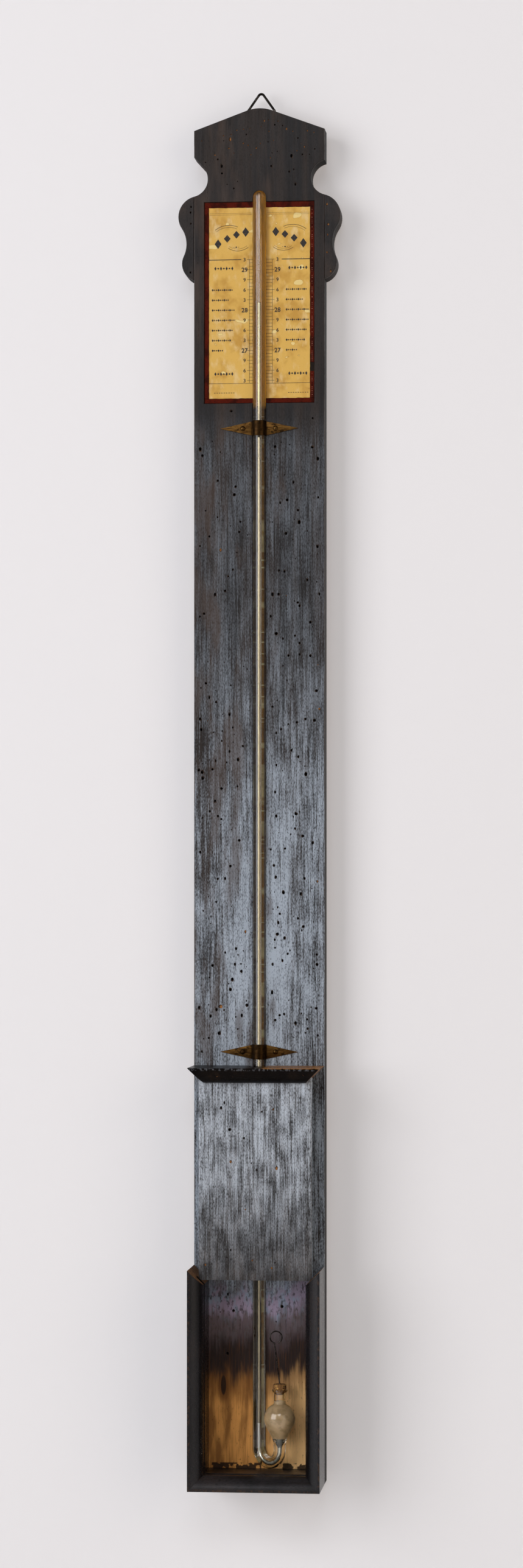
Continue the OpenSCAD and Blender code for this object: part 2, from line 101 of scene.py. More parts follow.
class Layer(NamedTuple):
    """A colour to lay over another: where its mask goes from none to full, it shows up to its strength."""

    tone: Socket | str
    mask: Socket
    none: float = 0.0
    full: float = 1.0
    strength: float = 1.0


class Paint:
    """One material's node tree, with the brushes that fill it."""

    def __init__(self, tree: bpy.types.NodeTree) -> None:
        """Starts from the object's own coordinates, in metres.

        Args:
            tree: the material's node tree.
        """
        self.tree = tree
        self.shader = tree.nodes["Principled BSDF"]
        self.place = self.add("TexCoord", out="Object")

    def add(self, kind: str, links: dict | None = None, out: int | str = 0, **settings) -> Socket:
        """Adds a node with its settings and links.

        Args:
            kind: shader node's type without its prefix.
            links: inputs as plug takes them.
            out: output to return.
            settings: the node's own properties.

        Returns:
            The output socket asked for.
        """
        node = self.tree.nodes.new("ShaderNode" + kind)
        for name, value in settings.items():
            setattr(node, name, value)
        plug(node, links or {})
        return node.outputs[out]

    @cached_property
    def axes(self) -> Sockets:
        """Gives X, Y, Z and the distance from the middle plane."""
        x, y, z = self.add("SeparateXYZ", {0: self.place}).node.outputs
        return x, y, z, self.add("Math", {0: x}, operation="ABSOLUTE")

    def grain(self, size: Size, seed: float, detail: float = 3.0) -> Socket:
        """Makes a cloud pattern drawn out to a real size.

        Args:
            size: one cloud's size along X, Y and Z in millimetres.
            seed: shift that makes one pattern differ from the next.
            detail: finer clouds within each one.

        Returns:
            Pattern from 0 to 1, mostly about a half.
        """
        shift = (seed, 0.7 * seed, 1.3 * seed)
        scale = [1 / (s * MM) for s in size]
        drawn = self.add("Mapping", {"Vector": self.place, "Location": shift, "Scale": scale})
        return self.add("TexNoise", {"Vector": drawn, "Scale": 1.0, "Detail": detail, "Roughness": 0.55})

    def zone(self, *steps: tuple[Socket, float, float]) -> Socket:
        """Multiplies soft steps into one mask.

        Args:
            steps: value, level where the mask is 0 and level where it is 1.

        Returns:
            Mask from 0 to 1.
        """
        mask = None
        for value, none, full in steps:
            step = self.add("MapRange", {0: value, 1: none, 2: full}, interpolation_type="SMOOTHSTEP")
            mask = step if mask is None else self.add("Math", {0: mask, 1: step}, operation="MULTIPLY")
        return mask

    def coat(self, under: Socket | str, *layers: Layer) -> Socket:
        """Lays colours over one another.

        Args:
            under: lowest colour, a socket or hex value.
            layers: colours over it, from the lowest up.

        Returns:
            The mixed colour.
        """
        for over, mask, none, full, strength in layers:
            share = self.add("MapRange", {0: mask, 1: none, 2: full, 4: strength},
                             interpolation_type="SMOOTHSTEP")
            lower, upper = [colour(c) if isinstance(c, str) else c for c in (under, over)]
            under = self.add("Mix", {0: share, 6: lower, 7: upper}, 2, data_type="RGBA")
        return under

    def spread(self, value: Socket, low: float, high: float) -> Socket:
        """Spreads a pattern's middle range over two levels, as for roughness.

        Args:
            value: pattern, mostly from 0.3 to 0.7.
            low: level at 0.3.
            high: level at 0.7.

        Returns:
            The spread value.
        """
        return self.add("MapRange", {0: value, 1: 0.3, 2: 0.7, 3: low, 4: high})

    def mingle(self, *parts: tuple[Socket, float]) -> Socket:
        """Adds patterns up by weight.

        Args:
            parts: pattern and its weight.

        Returns:
            The sum.
        """
        total: Socket | float = 0.0
        for value, weight in parts:
            total = self.add("Math", {0: value, 1: weight, 2: total}, operation="MULTIPLY_ADD")
        return total

    def blotch(self, spot: Spot, size: Spot) -> Socket:
        """Makes one soft oval mark on a front face.

        Args:
            spot: its middle along X and Z in millimetres.
            size: its width and height in millimetres.

        Returns:
            Mask from 1 in its middle to 0 at its rim.
        """
        wide, tall = 2 / size[0], 2 / size[1]
        shift = (-spot[0] * wide, 0.0, -spot[1] * tall)
        scale = (wide / MM, 0.0, tall / MM)
        moved = self.add("Mapping", {"Vector": self.place, "Location": shift, "Scale": scale})
        return self.zone((self.add("VectorMath", {0: moved}, "Value", operation="LENGTH"), 1.0, 0.3))

    def brushed(self, along: Size, blot: Size, crest: Size, seed: float) -> Sockets:
        """Makes the broken grain that a brush of stain leaves on planed softwood.

        Args:
            along: one fine streak's size along X, Y and Z in millimetres.
            blot: one cloudy patch's size.
            crest: one speck's size.
            seed: shift of the patterns.

        Returns:
            The four patterns mixed, about 0.6 in the middle, which drive the painted sheen and the roughness,
            then the streaks, patches and specks.
        """
        streak = self.grain(along, seed, 4.0)
        band = self.grain(tuple(2.0 * size for size in along), seed + 0.3)
        patch = self.grain(blot, seed + 0.5)
        speck = self.grain(crest, seed + 0.8)
        return self.mingle((streak, 0.36), (band, 0.24), (patch, 0.28), (speck, 0.32)), streak, patch, speck

    def relief(self, height: Socket, depth_mm: float) -> None:
        """Raises the surface by a pattern.

        Args:
            height: pattern from 0 to 1.
            depth_mm: height of a full step in millimetres.
        """
        bump = self.add("Bump", {"Height": height, "Distance": depth_mm * MM, "Strength": 1.0})
        plug(self.shader, {"Normal": bump})


@dataclass(frozen=True)
class Finish:
    """A surface finish that makes one material."""

    name: str = "plain"

    def shade(self, paint: Paint) -> None:
        """Paints the surface and sets its shader.

        Args:
            paint: the material to paint.
        """

    def material(self) -> bpy.types.Material:
        """Makes the material, or finds it where it is already made.

        Returns:
            The material.
        """
        made = bpy.data.materials.get(self.name)
        if not made:
            made = bpy.data.materials.new(self.name)
            made.use_nodes = True
            self.shade(Paint(made.node_tree))
        return made


@dataclass(frozen=True)
class EbonisedBoard(Finish):
    """Softwood planed by hand and brushed with black stain.

    The eye gets short broken grain with a painted blue-grey sheen on its crests lower down, a brown cast
    above, bare wood in the box and in the tube's groove with painted light and shade there, and a rubbed
    edge.
    """

    name: str = "ebonised_softwood"
    stain: str = "#120d0b"
    faded: str = "#251c16"
    # Painted sheen: the blue-grey of a reflection, laid on the grain's crests lower down
    painted_sheen: str = "#b2bdc8"
    pit: str = "#080605"
    rub: str = "#4b443f"
    brown: str = "#43342a"
    violet: str = "#96869a"
    dusk: str = "#554744"
    # Black-brown of scorched stain, also used for painted shade in the tube's groove
    char_and_shade: str = "#231812"
    blue: str = "#8a94a6"
    bare: str = "#d99a52"
    bare_painted_light: str = "#ffcd8a"
    bare_dark: str = "#6b431f"
    fleck: str = "#3a220f"
    groove: str = "#a07631"
    groove_pale: str = "#ead9a9"
    amber: str = "#d0912f"
    back: str = "#5f4a33"
    half_w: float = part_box("backboard")[1].x
    front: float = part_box("backboard")[0].y
    box_top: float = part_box("box_side_left")[1].z - 1.5 * MM
    box_foot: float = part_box("box_bottom_rail")[1].z
    inner_w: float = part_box("box_side_right")[0].x + 0.5 * MM
    scale_foot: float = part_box("border_bottom")[0].z - 1.0 * MM
    tube_top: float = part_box("siphon_tube")[1].z
    groove_w: float = 4.6 * MM
    scorch_z: float = -837.0 * MM
    # Heights where the painted sheen comes in, and rubbed spots that raise or lower the sheen and the gloss
    sheen_steps: tuple[Size, ...] = ((-0.19, -0.25, 0.4), (-0.32, -0.6, 0.6))
    knot: Mark = ((-24.1, -868.0), (5.0, 19.0))
    knot_halo: Mark = ((-24.5, -868.0), (11.0, 34.0))
    brown_mark: Mark = ((-20.0, -465.0), (30.0, 150.0))
    rubbed_sheen_spots: tuple[tuple[Spot, Spot, float], ...] = (
        ((12.0, -560.0), (34.0, 300.0), 0.06), ((-13.0, -600.0), (30.0, 200.0), 0.07),
        ((-38.0, -500.0), (18.0, 340.0), -0.06))

    def inside(self, paint: Paint, tone: Socket, streak: Socket) -> tuple[Socket, Socket]:
        """Paints the inside of the box: stain that fades through violet, brown and black to bare wood, with
        painted light on its right and painted shade on its left.

        Args:
            paint: the material to paint.
            tone: colour of the stained board.
            streak: grain along the board.

        Returns:
            The colour, and the mask of the dull wood.
        """
        x, _, z, side = paint.axes
        boxed = paint.zone((z, self.box_top, self.box_top - 1.0 * MM),
                           (side, self.inner_w + 0.3 * MM, self.inner_w))
        wave, comb = paint.grain((13.0, 30.0, 40.0), 5), paint.grain((1.5, 4.0, 14.0), 6)
        right = paint.zone((x, 0.017, 0.027))
        level = paint.mingle((z, 1.0), (wave, 0.03), (comb, 0.014), (streak, 0.008), (right, -0.005))

        def below(none: float, full: float) -> Socket:
            """Masks what lies below a ragged level, from none to full, in metres over the scorch."""
            return paint.zone((level, self.scorch_z + none, self.scorch_z + full), (boxed, 0.0, 1.0))

        violet = paint.coat(self.violet, Layer(self.blue, paint.grain((4.0, 4.0, 9.0), 16), 0.46, 0.62),
                            Layer(self.char_and_shade, paint.grain((1.6, 2.0, 3.4), 17, 4.0), 0.5, 0.66, 0.8))
        dusk = paint.coat(self.dusk, Layer(self.char_and_shade, streak, 0.5, 0.7, 0.7))
        scorch = paint.coat(self.char_and_shade, Layer(self.bare_dark, streak, 0.5, 0.72, 0.5))
        # Painted shade: the bare wood's dark patches gather on the left, under the left rail
        grain_and_left_shade = paint.mingle((paint.grain((6.0, 8.0, 34.0), 7), 1.0), (x, -4.0))
        # A dark ragged band along the foot of the box, just above the bottom rail
        dark_foot_band = paint.zone((z, self.box_foot + 4.2 * MM, self.box_foot + 3.0 * MM),
                          (paint.grain((7.0, 7.0, 9.0), 18), 0.46, 0.5))
        wood = paint.coat(
            self.bare,
            # Painted light: the bare wood grows lighter towards the right
            Layer(self.bare_painted_light, x, -0.004, 0.024),
            Layer(self.bare_dark, streak, 0.52, 0.74, 0.5),
            Layer(self.bare_dark, grain_and_left_shade, 0.46, 0.75, 0.75),
            Layer(self.fleck, paint.grain((0.7, 0.8, 2.6), 8), 0.62, 0.74, 0.8),
            Layer(self.bare_dark, level, self.scorch_z - 0.02, self.scorch_z - 0.004, 0.7),
            Layer(self.bare_dark, paint.blotch(*self.knot_halo), strength=0.8),
            Layer(self.char_and_shade, paint.blotch(*self.knot), 0.2, 0.6, 0.9),
            Layer(self.char_and_shade, dark_foot_band, strength=0.95))
        tone = paint.coat(
            tone,
            Layer(violet, below(0.07, 0.05), strength=0.9),
            Layer(dusk, below(0.052, 0.034), strength=0.9),
            Layer(scorch, below(0.038, 0.012), strength=0.9),
            Layer(wood, below(0.01, -0.008)))
        return tone, below(0.07, 0.02)

    def trough(self, paint: Paint, tone: Socket, streak: Socket) -> tuple[Socket, Socket]:
        """Paints the tube's groove: raw wood with chatter marks; below the scale, painted shade darkens its
        left side and both walls.

        Args:
            paint: the material to paint.
            tone: colour of the board round it.
            streak: grain along the board.

        Returns:
            The colour, and the groove's mask.
        """
        x, y, z, side = paint.axes
        chatter, flake = paint.grain((40.0, 40.0, 2.4), 9), paint.grain((40.0, 40.0, 17.0), 15, 1.0)
        wood = paint.coat(
            self.groove,
            Layer(self.bare_dark, chatter, 0.42, 0.32, 0.6),
            Layer(self.groove_pale, flake, 0.54, 0.58, 0.9),
            Layer(self.bare_dark, streak, 0.46, 0.7, 0.6),
            Layer(self.groove_pale, chatter, 0.58, 0.62),
            # Painted shade: dark down the groove's left side and along both walls, where the tube shades it
            Layer(self.char_and_shade, x, 0.2 * MM, -0.4 * MM, 0.9),
            Layer(self.char_and_shade, side, 3.0 * MM, 3.6 * MM, 0.9))
        wood = paint.coat(
            self.amber,
            Layer(self.groove, streak, 0.44, 0.7),
            Layer(wood, z, self.scale_foot, self.scale_foot - 4.0 * MM))
        sunk = paint.zone(
            (side, self.groove_w, self.groove_w - 0.3 * MM),
            (y, self.front + 0.3 * MM, self.front + 0.9 * MM),
            (y, self.front + 7.0 * MM, self.front + 6.0 * MM),
            (z, self.tube_top + 2.0 * MM, self.tube_top + 1.0 * MM))
        return paint.coat(tone, Layer(wood, sunk)), sunk

    def shade(self, paint: Paint) -> None:
        """Paints the surface: see Finish."""
        x, y, z, side = paint.axes
        sheen, streak, patch, crest = paint.brushed((0.7, 3.0, 22.0), (13.0, 16.0, 30.0), (0.5, 2.0, 1.6), 1)
        # Painted sheen: rubbed spots and the height set where blue-grey is laid on the grain's crests,
        # strongest on the lower board
        rubbed = paint.mingle(*[(paint.blotch(spot, size), weight) for spot, size, weight in self.rubbed_sheen_spots])
        shine = paint.mingle((sheen, 1.0), (rubbed, 1.0))
        low = paint.mingle(*[(paint.zone((z, none, full)), weight)
                             for none, full, weight in self.sheen_steps])
        painted_sheen_mask = paint.zone((shine, 0.41, 0.8), (low, -0.05, 1.0),
                            (y, self.front + 1.4 * MM, self.front + 0.6 * MM))
        cast = paint.mingle((paint.grain((12.0, 14.0, 60.0), 10), 1.0), (x, -2.0),
                            (paint.blotch(*self.brown_mark), 0.1))
        rim = paint.zone((side, self.half_w - 0.8 * MM, self.half_w - 0.2 * MM),
                         (y, self.front + 1.2 * MM, self.front + 0.3 * MM), (patch, 0.42, 0.56))
        tone = paint.coat(
            self.stain,
            Layer(self.faded, paint.grain((6.0, 9.0, 150.0), 2), 0.36, 0.64),
            # Painted sheen over the stain
            Layer(self.painted_sheen, painted_sheen_mask, strength=0.9),
            Layer(self.pit, paint.zone((crest, 0.44, 0.34)), strength=0.6),
            Layer(self.brown, cast, 0.52, 0.72, 0.6),
            Layer(self.rub, rim, strength=0.7))
        tone, boxed = self.inside(paint, tone, streak)
        tone, sunk = self.trough(paint, tone, streak)
        back = paint.coat(self.back, Layer(self.bare_dark, streak, 0.4, 0.66, 0.8))
        tone = paint.coat(tone, Layer(back, paint.zone((y, -0.9 * MM, -0.3 * MM))))
        dull = paint.add("MapRange", {0: shine, 1: 0.5, 2: 0.75, 3: 0.65, 4: 0.25})
        sawn = paint.zone((y, self.front + 0.6 * MM, self.front + 1.2 * MM))
        for raw in (boxed, sunk, sawn):
            dull = paint.add("Math", {0: dull, 1: raw}, operation="MAXIMUM")
        plug(paint.shader, {"Base Color": tone, "IOR": 1.5, "Roughness": dull, "Specular IOR Level": 0.3})
        paint.relief(shine, 0.16)


@dataclass(frozen=True)
class EbonisedPart(Finish):
    """Stained softwood of the smaller pieces: broken grain, a rubbed lip, a brown cast and a painted sheen.
    """

    name: str = "ebonised_part"
    stain: str = "#110c0a"
    faded: str = "#231a14"
    # Painted sheen: colour of a reflection laid on the grain's crests, how strong it is, and the heights it
    # fades over
    painted_sheen: str = "#4b443f"
    pit: str = "#090706"
    lip: str = "#4a3524"
    brown: str = "#3c2a1b"
    bare: str = "#a06c34"
    painted_sheen_strength: float = 0.3
    browned: float = 0.4
    along: Size = (0.8, 3.0, 30.0)
    crest: Size = (0.5, 2.0, 1.6)
    blot: Size = (18.0, 18.0, 34.0)
    rough: Spot = (0.26, 0.55)
    depth_mm: float = 0.12
    gloss: float = 0.3
    sheen_fade_z: Spot = (-10.0, -9.0)
    lip_y: float = -1.0
    sawn_y: float = 1.0
    bare_z: float = 1.0
    back_y: float = 1.0

    def shade(self, paint: Paint) -> None:
        """Paints the surface: see Finish."""
        x, y, z, _ = paint.axes
        shine, _, patch, crest = paint.brushed(self.along, self.blot, self.crest, 11)
        speck = paint.grain((1.4, 1.4, 2.2), 13, 5.0)
        ragged = paint.mingle((x, 1.0), (speck, 0.012))
        top = paint.zone((z, self.bare_z, self.bare_z + 0.3 * MM), (ragged, 0.008, 0.016),
                         (speck, 0.34, 0.5))
        worn = paint.zone((y, self.lip_y + 0.25 * MM, self.lip_y + 0.05 * MM), (speck, 0.5, 0.62))
        tone = paint.coat(
            self.stain,
            Layer(self.faded, patch, 0.36, 0.62),
            Layer(self.brown, paint.zone((patch, 0.52, 0.7), (speck, 0.35, 0.55)), strength=self.browned),
            # Painted sheen on the grain's crests, faded out by height
            Layer(self.painted_sheen, paint.zone((shine, 0.41, 0.8), (z, *self.sheen_fade_z)), strength=self.painted_sheen_strength),
            Layer(self.pit, paint.zone((crest, 0.44, 0.34)), strength=0.6),
            Layer(self.bare, top, strength=0.9),
            Layer(self.bare, y, self.back_y, self.back_y + 0.6 * MM),
            Layer(self.lip, worn, strength=0.5))
        dull = paint.add("MapRange", {0: shine, 1: 0.5, 2: 0.75, 3: self.rough[1], 4: self.rough[0]})
        sawn = paint.zone((y, self.sawn_y, self.sawn_y + 0.6 * MM))
        dull = paint.add("Math", {0: dull, 1: sawn}, operation="MAXIMUM")
        plug(paint.shader, {"Base Color": tone, "IOR": 1.5, "Roughness": dull,
                            "Specular IOR Level": self.gloss})
        paint.relief(shine, self.depth_mm)


@dataclass(frozen=True)
class RawWood(Finish):
    """Wood with no finish, as in a mitre or a worm's bore: dull, warm, with short dark grain."""

    name: str = "raw_wood"
    light: str = "#8a6034"
    dark: str = "#4a2f18"
    size: Size = (0.9, 0.9, 5.0)

    def shade(self, paint: Paint) -> None:
        """Paints the surface: see Finish."""
        streak = paint.grain(self.size, 21)
        tone = paint.coat(self.light, Layer(self.dark, streak, 0.36, 0.64))
        plug(paint.shader, {"Base Color": tone, "Roughness": 0.85, "IOR": 1.45})
        paint.relief(streak, 0.12)


@dataclass(frozen=True)
class AgedPaper(Finish):
    """Rag paper varnished and gone yellow: clouded, with pale drops of glue, a painted brown shadow of the
    tube and a dim gloss.
    """

    name: str = "aged_varnished_paper"
    base: str = "#dcb055"
    dark: str = "#b98732"
    pale: str = "#e6cb92"
    drop: str = "#ecd48c"
    foxing_and_tube_shadow: str = "#a47534"

    def shade(self, paint: Paint) -> None:
        """Paints the surface: see Finish."""
        x = paint.axes[0]
        cloud = paint.grain((13.0, 13.0, 16.0), 31)
        scuff = paint.grain((5.0, 5.0, 9.0), 32, 6.0)
        fibre = paint.grain((0.6, 0.6, 0.9), 33)
        drips = paint.grain((6.5, 6.5, 5.0), 34, 0.0)
        tone = paint.coat(
            self.base,
            Layer(self.dark, cloud, 0.46, 0.68, 0.7),
            Layer(self.pale, scuff, 0.5, 0.74, 0.7),
            Layer(self.foxing_and_tube_shadow, paint.zone((drips, 0.755, 0.77), (drips, 0.79, 0.78)), strength=0.4),
            Layer(self.drop, paint.zone((drips, 0.77, 0.785)), strength=0.9),
            Layer(self.dark, fibre, 0.56, 0.75, 0.35),
            # Painted shadow: brown along the right sheet's edge beside the tube
            Layer(self.foxing_and_tube_shadow, paint.zone((x, 8.5 * MM, 4.6 * MM), (x, 0.0, 2.0 * MM)), strength=0.75))
        plug(paint.shader, {"Base Color": tone, "Roughness": paint.spread(cloud, 0.42, 0.58), "IOR": 1.48,
                            "Specular IOR Level": 0.3})
        paint.relief(fibre, 0.03)


@dataclass(frozen=True)
class PrintInk(Finish):
    """Printer's black on rag paper: brown-black, a little broken where the type printed thin."""

    name: str = "printed_ink"
    black: str = "#1b1510"
    thin: str = "#5c4527"

    def shade(self, paint: Paint) -> None:
        """Paints the surface: see Finish."""
        tone = paint.coat(self.black, Layer(self.thin, paint.grain((1.1, 1.1, 1.1), 41), 0.52, 0.7, 0.8))
        plug(paint.shader, {"Base Color": tone, "Roughness": 0.6, "IOR": 1.48})


@dataclass(frozen=True)
class StripPaper(Finish):
    """Embossed paper strip lacquered oxblood: deep red with darker blots and dark specks, and a soft gloss.
    """

    name: str = "oxblood_strip"
    red: str = "#551607"
    deep: str = "#300b04"
    grime: str = "#130604"

    def shade(self, paint: Paint) -> None:
        """Paints the surface: see Finish."""
        blot, speck = paint.grain((6.0, 6.0, 9.0), 51), paint.grain((0.8, 0.8, 0.8), 52)
        tone = paint.coat(self.red, Layer(self.deep, blot, 0.42, 0.66, 0.9),
                          Layer(self.grime, speck, 0.56, 0.7, 0.7))
        plug(paint.shader, {"Base Color": tone, "Roughness": paint.spread(blot, 0.4, 0.56), "IOR": 1.5,
                            "Specular IOR Level": 0.05})
        paint.relief(speck, 0.05)


@dataclass(frozen=True)
class BlownGlass(Finish):
    """Soda glass drawn and blown at the lamp: clear, a little green, with sharp reflections."""

    name: str = "blown_soda_glass"
    tint: str = "#f7f5e9"

    def shade(self, paint: Paint) -> None:
        """Paints the surface: see Finish."""
        plug(paint.shader, {"Base Color": colour(self.tint), "Roughness": 0.0, "IOR": 1.5,
                            "Transmission Weight": 1.0})
        paint.relief(paint.grain((3.0, 3.0, 40.0), 61, 1.0), 0.04)


@dataclass(frozen=True)
class WetBore(Finish):
    """Bore that mercury fills: the metal lies against the glass, so nothing bends the light between them."""

    name: str = "wet_bore"

    def shade(self, paint: Paint) -> None:
        """Paints the surface: see Finish."""
        plug(paint.shader, {"Base Color": (1.0, 1.0, 1.0, 1.0), "Roughness": 0.0, "IOR": 1.0,
                            "Specular IOR Level": 0.0, "Transmission Weight": 1.0})


@dataclass(frozen=True)
class DustedGlass(Finish):
    """Inside of a bulb filmed with dust and mercury oxide: milky, grey-brown, darker in streaks."""

    name: str = "dusted_glass"
    film: str = "#ecd0a6"
    dark: str = "#c3a67c"

    def shade(self, paint: Paint) -> None:
        """Paints the surface: see Finish."""
        tone = paint.coat(self.film, Layer(self.dark, paint.grain((5.0, 5.0, 4.0), 62), 0.42, 0.68, 0.8))
        plug(paint.shader, {"Base Color": tone, "Roughness": 0.28, "IOR": 1.5, "Transmission Weight": 0.1})


@dataclass(frozen=True)
class LiquidMercury(Finish):
    """Old mercury: a bright mirror in the bend, dulled by a brown-grey film higher up the tube, tinted gold
    along the scale by a painted reflection.
    """

    name: str = "liquid_mercury"
    silver: str = "#dcdedd"
    film: str = "#aea48f"
    dirt: str = "#847a66"
    painted_scale_reflection: str = "#efd9a6"
    scale_foot: float = EbonisedBoard.scale_foot
    film_foot: float = -893.0 * MM

    def shade(self, paint: Paint) -> None:
        """Paints the surface: see Finish."""
        z = paint.axes[2]
        filmed = paint.zone((z, self.film_foot, self.film_foot + 0.4 * MM))
        tone = paint.coat(
            self.silver,
            Layer(self.film, filmed),
            Layer(self.dirt, paint.grain((1.2, 1.2, 14.0), 71), 0.5, 0.75, 0.6),
            # Painted reflection: gold where the mercury runs along the yellow scale
            Layer(self.painted_scale_reflection, z, self.scale_foot - 10.0 * MM, self.scale_foot + 10.0 * MM, 0.8))
        dull = paint.add("MapRange", {0: filmed, 3: 0.28, 4: 0.16})
        plug(paint.shader, {"Base Color": tone, "Metallic": 0.75, "Roughness": dull})


@dataclass(frozen=True)
class NaturalCork(Finish):
    """Cut cork, dried and cracked: tan, with dark pits and clefts and no gloss."""

    name: str = "natural_cork"
    tan: str = "#79522a"
    pit: str = "#1f1209"
    pale: str = "#d0a055"

    def shade(self, paint: Paint) -> None:
        """Paints the surface: see Finish."""
        pits, lump = paint.grain((1.1, 1.1, 0.9), 81, 4.0), paint.grain((2.6, 2.6, 2.0), 82)
        tone = paint.coat(self.tan, Layer(self.pale, lump, 0.45, 0.66, 0.8),
                          Layer(self.pit, pits, 0.52, 0.64))
        plug(paint.shader, {"Base Color": tone, "Roughness": 0.85, "IOR": 1.4})
        paint.relief(pits, -0.3)


@dataclass(frozen=True)
class OldMetal(Finish):
    """Sheet or wire that has lain open to the air: bright where rubbed, dark with oxide elsewhere."""

    name: str = "tarnished_brass"
    bright: str = "#b58a3c"
    dull: str = "#6b4d22"
    oxide: str = "#2c1f12"
    oxide_from: float = 0.5
    scratch: Size = (6.0, 4.0, 0.35)
    rough: Spot = (0.3, 0.55)
    dark_half_w: float = 0.0

    def shade(self, paint: Paint) -> None:
        """Paints the surface: see Finish."""
        line, blot = paint.grain(self.scratch, 91), paint.grain((3.2, 3.2, 3.2), 92)
        tone = paint.coat(self.bright, Layer(self.dull, line, 0.36, 0.64),
                          Layer(self.oxide, blot, self.oxide_from, self.oxide_from + 0.16, 0.85))
        if self.dark_half_w:
            rim = self.dark_half_w
            tone = paint.coat(tone, Layer(self.oxide, paint.axes[3], rim + 1.0 * MM, rim, 0.85))
        dull = paint.spread(blot, *self.rough)
        plug(paint.shader, {"Base Color": tone, "Metallic": 1.0, "Roughness": dull})
        paint.relief(line, 0.04)


@dataclass(frozen=True)
class StudioPlaster(Finish):
    """Plain pale backdrop and floor: matt, no pattern that draws the eye."""

    name: str = "pale_backdrop"
    pale: str = "#d4d2d1"
    glow: str = "#f4f2f4"
    lift: float = 0.25
    one_sided: bool = True

    def shade(self, paint: Paint) -> None:
        """Paints the surface: see Finish."""
        rays = paint.add("LightPath").node.outputs
        seen = rays["Is Camera Ray"]
        for ray in ("Is Glossy Ray", "Is Transmission Ray"):
            seen = paint.add("Math", {0: seen, 1: rays[ray]}, operation="MAXIMUM")
        lift = paint.add("Math", {0: seen, 1: self.lift}, operation="MULTIPLY")
        plug(paint.shader, {"Base Color": colour(self.pale), "Roughness": 0.9, "Specular IOR Level": 0.1,
                            "Emission Color": colour(self.glow), "Emission Strength": lift})
        if not self.one_sided:
            return
        # Open to light and from behind, so that the object's back can be lit and seen
        behind = paint.add("NewGeometry", out="Backfacing")
        unseen = paint.add("Math", {0: behind, 1: rays["Is Shadow Ray"]}, operation="MAXIMUM")
        clear = paint.add("BsdfTransparent")
        both = paint.add("MixShader", {0: unseen, 1: paint.shader.outputs[0], 2: clear})
        plug(paint.tree.nodes["Material Output"], {"Surface": both})


CROSSWISE = {"along": (30.0, 3.0, 0.8), "crest": (2.0, 2.0, 0.5)}
MOULDED = {"depth_mm": 0.04, "lip_y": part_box("box_bottom_rail")[0].y}

BOARD = EbonisedBoard()
# Faint painted sheen on the ears
EAR = EbonisedPart("ebonised_ear", painted_sheen_strength=0.15, sawn_y=BOARD.front + 0.6 * MM, bare=BOARD.back,
                   back_y=-0.9 * MM)
# Faint bluish painted sheen on the rails
RAIL = EbonisedPart("polished_ebonised_moulding", stain="#0b0808", faded="#151213", painted_sheen="#565a63",
                    painted_sheen_strength=0.05, browned=0.15, rough=(0.2, 0.34), **MOULDED)
# Faint painted sheen, and a grey-blue painted highlight on the worn front edge
HEAD = EbonisedPart("polished_ebonised_head", stain="#070404", faded="#0e0a08", lip="#6a6c70", painted_sheen_strength=0.04,
                    browned=0.2, rough=(0.2, 0.36), gloss=0.04, bare_z=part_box("cover_head")[1].z - 0.5 * MM,
                    **CROSSWISE, **MOULDED)
# Faint bluish painted sheen on the foot rail
FOOT = EbonisedPart("polished_ebonised_foot", stain="#15110f", faded="#231d1a", painted_sheen="#565a63",
                    painted_sheen_strength=0.12, browned=0.2, rough=(0.26, 0.42), gloss=0.25, **CROSSWISE, **MOULDED)
# The panel's grey-blue streaks are painted sheen, fading out towards its foot
PANEL = EbonisedPart("rubbed_ebonised_panel", stain="#1d1815", faded="#37312d", painted_sheen="#c6cfd8",
                     painted_sheen_strength=0.95, browned=0.6, along=(0.7, 3.0, 18.0), blot=(7.0, 8.0, 13.0),
                     rough=(0.22, 0.65), depth_mm=0.16, sheen_fade_z=(-0.85, -0.69))
RAW = RawWood()
BORE = RawWood("worm_bore", light="#150d08", dark="#060403", size=(0.6, 0.6, 0.6))
FRASS = RawWood("worm_frass", light="#a8723a", dark="#6b421c", size=(0.5, 0.5, 0.5))
EDGE = RawWood("worm_rim", light="#4a3320", dark="#0e0906", size=(0.7, 0.7, 0.7))
PAPER = AgedPaper()
INK = PrintInk()
STRIP = StripPaper()
BEAD = OldMetal("worn_bead_gilding", bright="#c9927b", dull="#7d3a28", oxide="#3a130c", rough=(0.4, 0.6))
GLASS = BlownGlass()
DUST = DustedGlass()
WET = WetBore()
MERCURY = LiquidMercury()
CORK = NaturalCork()
CLIP = OldMetal("tarnished_sheet_brass", bright="#75552a", dull="#472f17", oxide="#1d130a",
                dark_half_w=4.8 * MM)
NAIL = OldMetal("round_brass_nail", bright="#6b4f27", dull="#3b2914", oxide_from=0.46)
IRON = OldMetal("oxidised_iron_wire", bright="#57514c", dull="#211d1b", oxide="#0e0a08", oxide_from=0.42,
                rough=(0.22, 0.42))
STRAP = OldMetal("tarnished_strap_brass", bright="#8f7138", dull="#5d4621", oxide_from=0.48)


# Meshes


def cad_solid(node: str) -> Mesh:
    """Copies a CAD node's mesh, merges it and joins its flat triangles.

    Args:
        node: name of the CAD node.

    Returns:
        The copy.
    """
    bm = bmesh.new()
    bm.from_mesh(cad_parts[node].data)
    bmesh.ops.remove_doubles(bm, verts=bm.verts, dist=WELD)
    bmesh.ops.dissolve_limit(bm, angle_limit=math.radians(0.5), verts=bm.verts, edges=bm.edges)
    return bm


